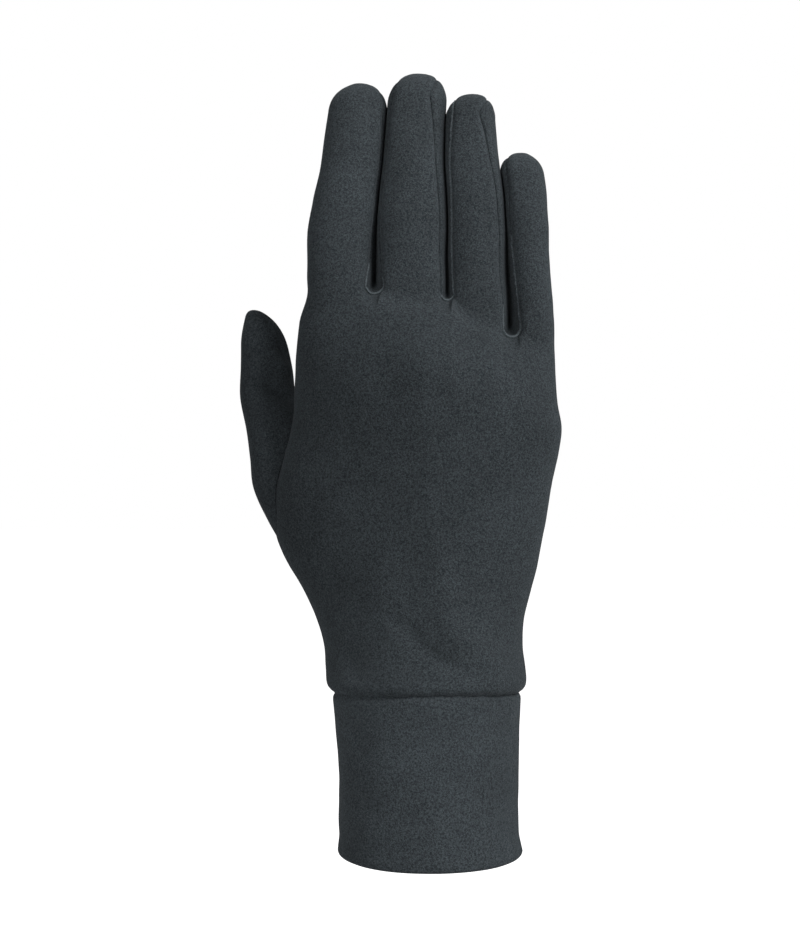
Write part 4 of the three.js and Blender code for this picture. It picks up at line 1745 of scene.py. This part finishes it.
@dataclass(frozen=True)
class SoftLight:
    """One square lamp: its place and target, its side in metres, its power and its beam in degrees."""

    name: str
    place: tuple[float, float, float]
    target: tuple[float, float, float]
    side: float
    power: float
    spread: float = 180.0

    def build(self) -> None:
        """Adds the lamp to the scene."""
        data = bpy.data.lights.new(self.name, "AREA")
        data.shape = "SQUARE"
        data.size = self.side
        data.energy = self.power
        data.spread = math.radians(self.spread)
        lamp = bpy.data.objects.new(self.name, data)
        lamp.location = self.place
        lamp.rotation_euler = (Vector(self.target) - Vector(self.place)).to_track_quat("-Z", "Y").to_euler()
        bpy.context.scene.collection.objects.link(lamp)


@dataclass(frozen=True)
class Studio:
    """A pale floor, a white surround and soft light from the right, with places in metres."""

    floor_side: float = 8.0
    floor_drop: float = 0.06
    floor_tone: tuple[float, float, float, float] = (0.92, 0.92, 0.92, 1.0)
    floor_roughness: float = 0.9
    white: tuple[float, float, float, float] = (1.0, 1.0, 1.0, 1.0)
    floor_glow: float = 0.9
    surround: float = 0.2
    lights: tuple[SoftLight, ...] = (
        SoftLight("key_light", (0.565, -0.474, 0.666), (0.0, 0.0, 0.15), 0.35, 6.1),
        SoftLight("finger_light", (-0.28, -0.54, 0.3), (0.0, 0.0, 0.235), 0.15, 0.032, 19.0),
        SoftLight("side_light", (0.6, -0.14, 0.26), (0.0, 0.0, 0.21), 0.25, 0.08, 40.0),
        SoftLight("cuff_light", (-0.1, -0.6, -0.05), (0.0, 0.0, -0.01), 0.2, 0.09, 28.0),
    )

    def build(self) -> None:
        """Adds the floor, the surround and the lamps, and sets a plain view."""
        self._floor()
        self._surround()
        for light in self.lights:
            light.build()
        view = bpy.context.scene.view_settings
        view.view_transform = "Standard"
        view.look = "None"

    def _floor(self) -> None:
        """Adds a pale floor that throws no light on the glove."""
        place = (0.0, 0.0, -self.floor_drop)
        bpy.ops.mesh.primitive_plane_add(size=self.floor_side, location=place)
        floor = bpy.context.object
        floor.name = "studio_floor"
        material = bpy.data.materials.new("pale_floor")
        material.use_nodes = True
        shader = material.node_tree.nodes["Principled BSDF"]
        shader.inputs["Base Color"].default_value = self.floor_tone
        shader.inputs["Roughness"].default_value = self.floor_roughness
        shader.inputs["Emission Color"].default_value = self.white
        shader.inputs["Emission Strength"].default_value = self.floor_glow
        floor.data.materials.append(material)
        floor.visible_diffuse = False
        floor.visible_glossy = False

    def _surround(self) -> None:
        """Adds a surround that is white to the camera and dim to the glove."""
        world = bpy.data.worlds.new("white_surround")
        world.use_nodes = True
        background = world.node_tree.nodes["Background"]
        background.inputs["Color"].default_value = self.white
        path = world.node_tree.nodes.new("ShaderNodeLightPath")
        strength = world.node_tree.nodes.new("ShaderNodeMapRange")
        strength.inputs["To Min"].default_value = self.surround
        strength.inputs["To Max"].default_value = 1.0
        world.node_tree.links.new(path.outputs["Is Camera Ray"], strength.inputs["Value"])
        world.node_tree.links.new(strength.outputs["Result"], background.inputs["Strength"])
        bpy.context.scene.world = world


@dataclass(frozen=True)
class PhotoCamera:
    """The camera, level and square to the back of the hand, with its place in metres."""

    place: tuple[float, float, float] = (-0.00968, -0.43, 0.12177)
    focal: float = 60.0
    sensor: float = 36.0
    near: float = 0.01

    def build(self) -> None:
        """Adds the camera and makes it the scene's."""
        data = bpy.data.cameras.new("photo_camera")
        data.sensor_fit = "HORIZONTAL"
        data.sensor_width = self.sensor
        data.lens = self.focal
        data.clip_start = self.near
        camera = bpy.data.objects.new("photo_camera", data)
        camera.location = self.place
        camera.rotation_euler = (math.radians(90.0), 0.0, 0.0)
        bpy.context.scene.collection.objects.link(camera)
        bpy.context.scene.camera = camera


@dataclass
class GloveLiner:
    """The whole glove, as pieces that stand for the CAD nodes."""

    sizes: GloveSizes = GloveSizes()
    fineness: Fineness = Fineness()
    little_ridge_top: float = 199.0
    index_ridge_top: float = 190.5
    side_ridge: tuple[float, float] = (103.0, 145.0)
    ridge_lift: float = 0.3
    ring_tail: int = 6
    little_tail: int = 10
    index_tail: int = 5
    thumb_clearance: float = 0.1

    def __post_init__(self) -> None:
        """Works out the form and the finishes."""
        self.form = HandForm(self.sizes)
        self.panel_knit = PANEL_KNIT.material()
        self.strip_knit = STRIP_KNIT.material()
        self.cuff_knit = CUFF_KNIT.material()
        self.seam_highlight_knit = SEAM_HIGHLIGHT_KNIT.material()

    def build(self) -> None:
        """Builds every piece and sets it on the frame."""
        back = HandPanel("back_panel_cloth", self.form, Side.BACK, self.fineness).build()
        palm = HandPanel("palm_panel_cloth", self.form, Side.PALM, self.fineness).build()
        self._place(back.to_object(), self.panel_knit, "back_panel")
        thumb = ThumbTube(self.form)
        outer = thumb.solid("thumb_cloth", 0.0)
        hollow = thumb.solid("thumb_hollow", -self.form.sizes.cloth_wall)
        filler = hand_filler(self.form, self.thumb_clearance)
        cut(outer, hollow)
        cut(outer, filler)
        palm_cloth = palm.to_object()
        cut(palm_cloth, hollow)
        discard(hollow, filler)
        self._place(palm_cloth, self.panel_knit, "palm_panel")
        self._place(outer, self.panel_knit, "thumb")
        for between, pair in enumerate(("index_middle", "middle_ring", "ring_little")):
            strip = Fourchette(f"fourchette_{pair}_cloth", self.form, between, self.fineness).build()
            self._place(strip.to_object(), self.strip_knit, f"fourchette_{pair}")
        cuff = FoldedCuff(self.form).build()
        self._place(cuff, self.cuff_knit, "cuff")
        self._ridges(back)

    def _ridges(self, back: ClothShell) -> None:
        """Lays the raised seam allowances along the fingers and round the crotches, in a paler knit that
        paints the highlight on their edges.

        Args:
            back: The back of the hand, with its seam lines.
        """
        outer = back.outer + back.normals() * self.ridge_lift
        lines = {name: outer[numbers] for name, numbers in back.lines.items()}
        ring_tail = lines["middle_right"][:self.ring_tail]
        ring = np.vstack([lines["ring_left"][::-1], lines["crotch_1"][::-1], ring_tail])
        little = lines["little_left"][::-1]
        little = little[little[:, 2] < self.little_ridge_top]
        little_tail = lines["ring_right"][:self.little_tail]
        little = np.vstack([little, lines["crotch_2"][::-1], little_tail])
        index = lines["index_right"][::-1]
        index = index[index[:, 2] < self.index_ridge_top]
        index = np.vstack([index, lines["crotch_0"], lines["middle_left"][:self.index_tail]])
        side = lines["thumb_side"]
        side = side[(side[:, 2] > self.side_ridge[0]) & (side[:, 2] < self.side_ridge[1])]
        for name, line in (("ring", ring), ("little", little), ("index", index), ("side", side)):
            ridge = SeamRidge(f"seam_ridge_{name}").build(line)
            # The paler knit paints the highlight that the light throws along the raised ridge.
            ridge.data.materials.append(self.seam_highlight_knit)
            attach(ridge, "root")
            LOG.info("%s: %d faces", ridge.name, len(ridge.data.polygons))

    def _place(self, obj: bpy.types.Object, finish: bpy.types.Material, node: str) -> None:
        """Gives a piece its finish and sets it on the frame in place of a CAD node.

        Args:
            obj: The piece.
            finish: Its material.
            node: The CAD node that it stands for.
        """
        obj.data.materials.clear()
        obj.data.materials.append(finish)
        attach(obj, "root")
        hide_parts(node)
        LOG.info("%s: %d faces, in place of %s", obj.name, len(obj.data.polygons), node)


def main() -> None:
    """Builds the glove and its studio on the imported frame."""
    logging.basicConfig(level=logging.INFO, format="%(message)s")
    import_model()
    PhotoCamera().build()
    Studio().build()
    GloveLiner().build()


if __name__ == "__main__":
    main()
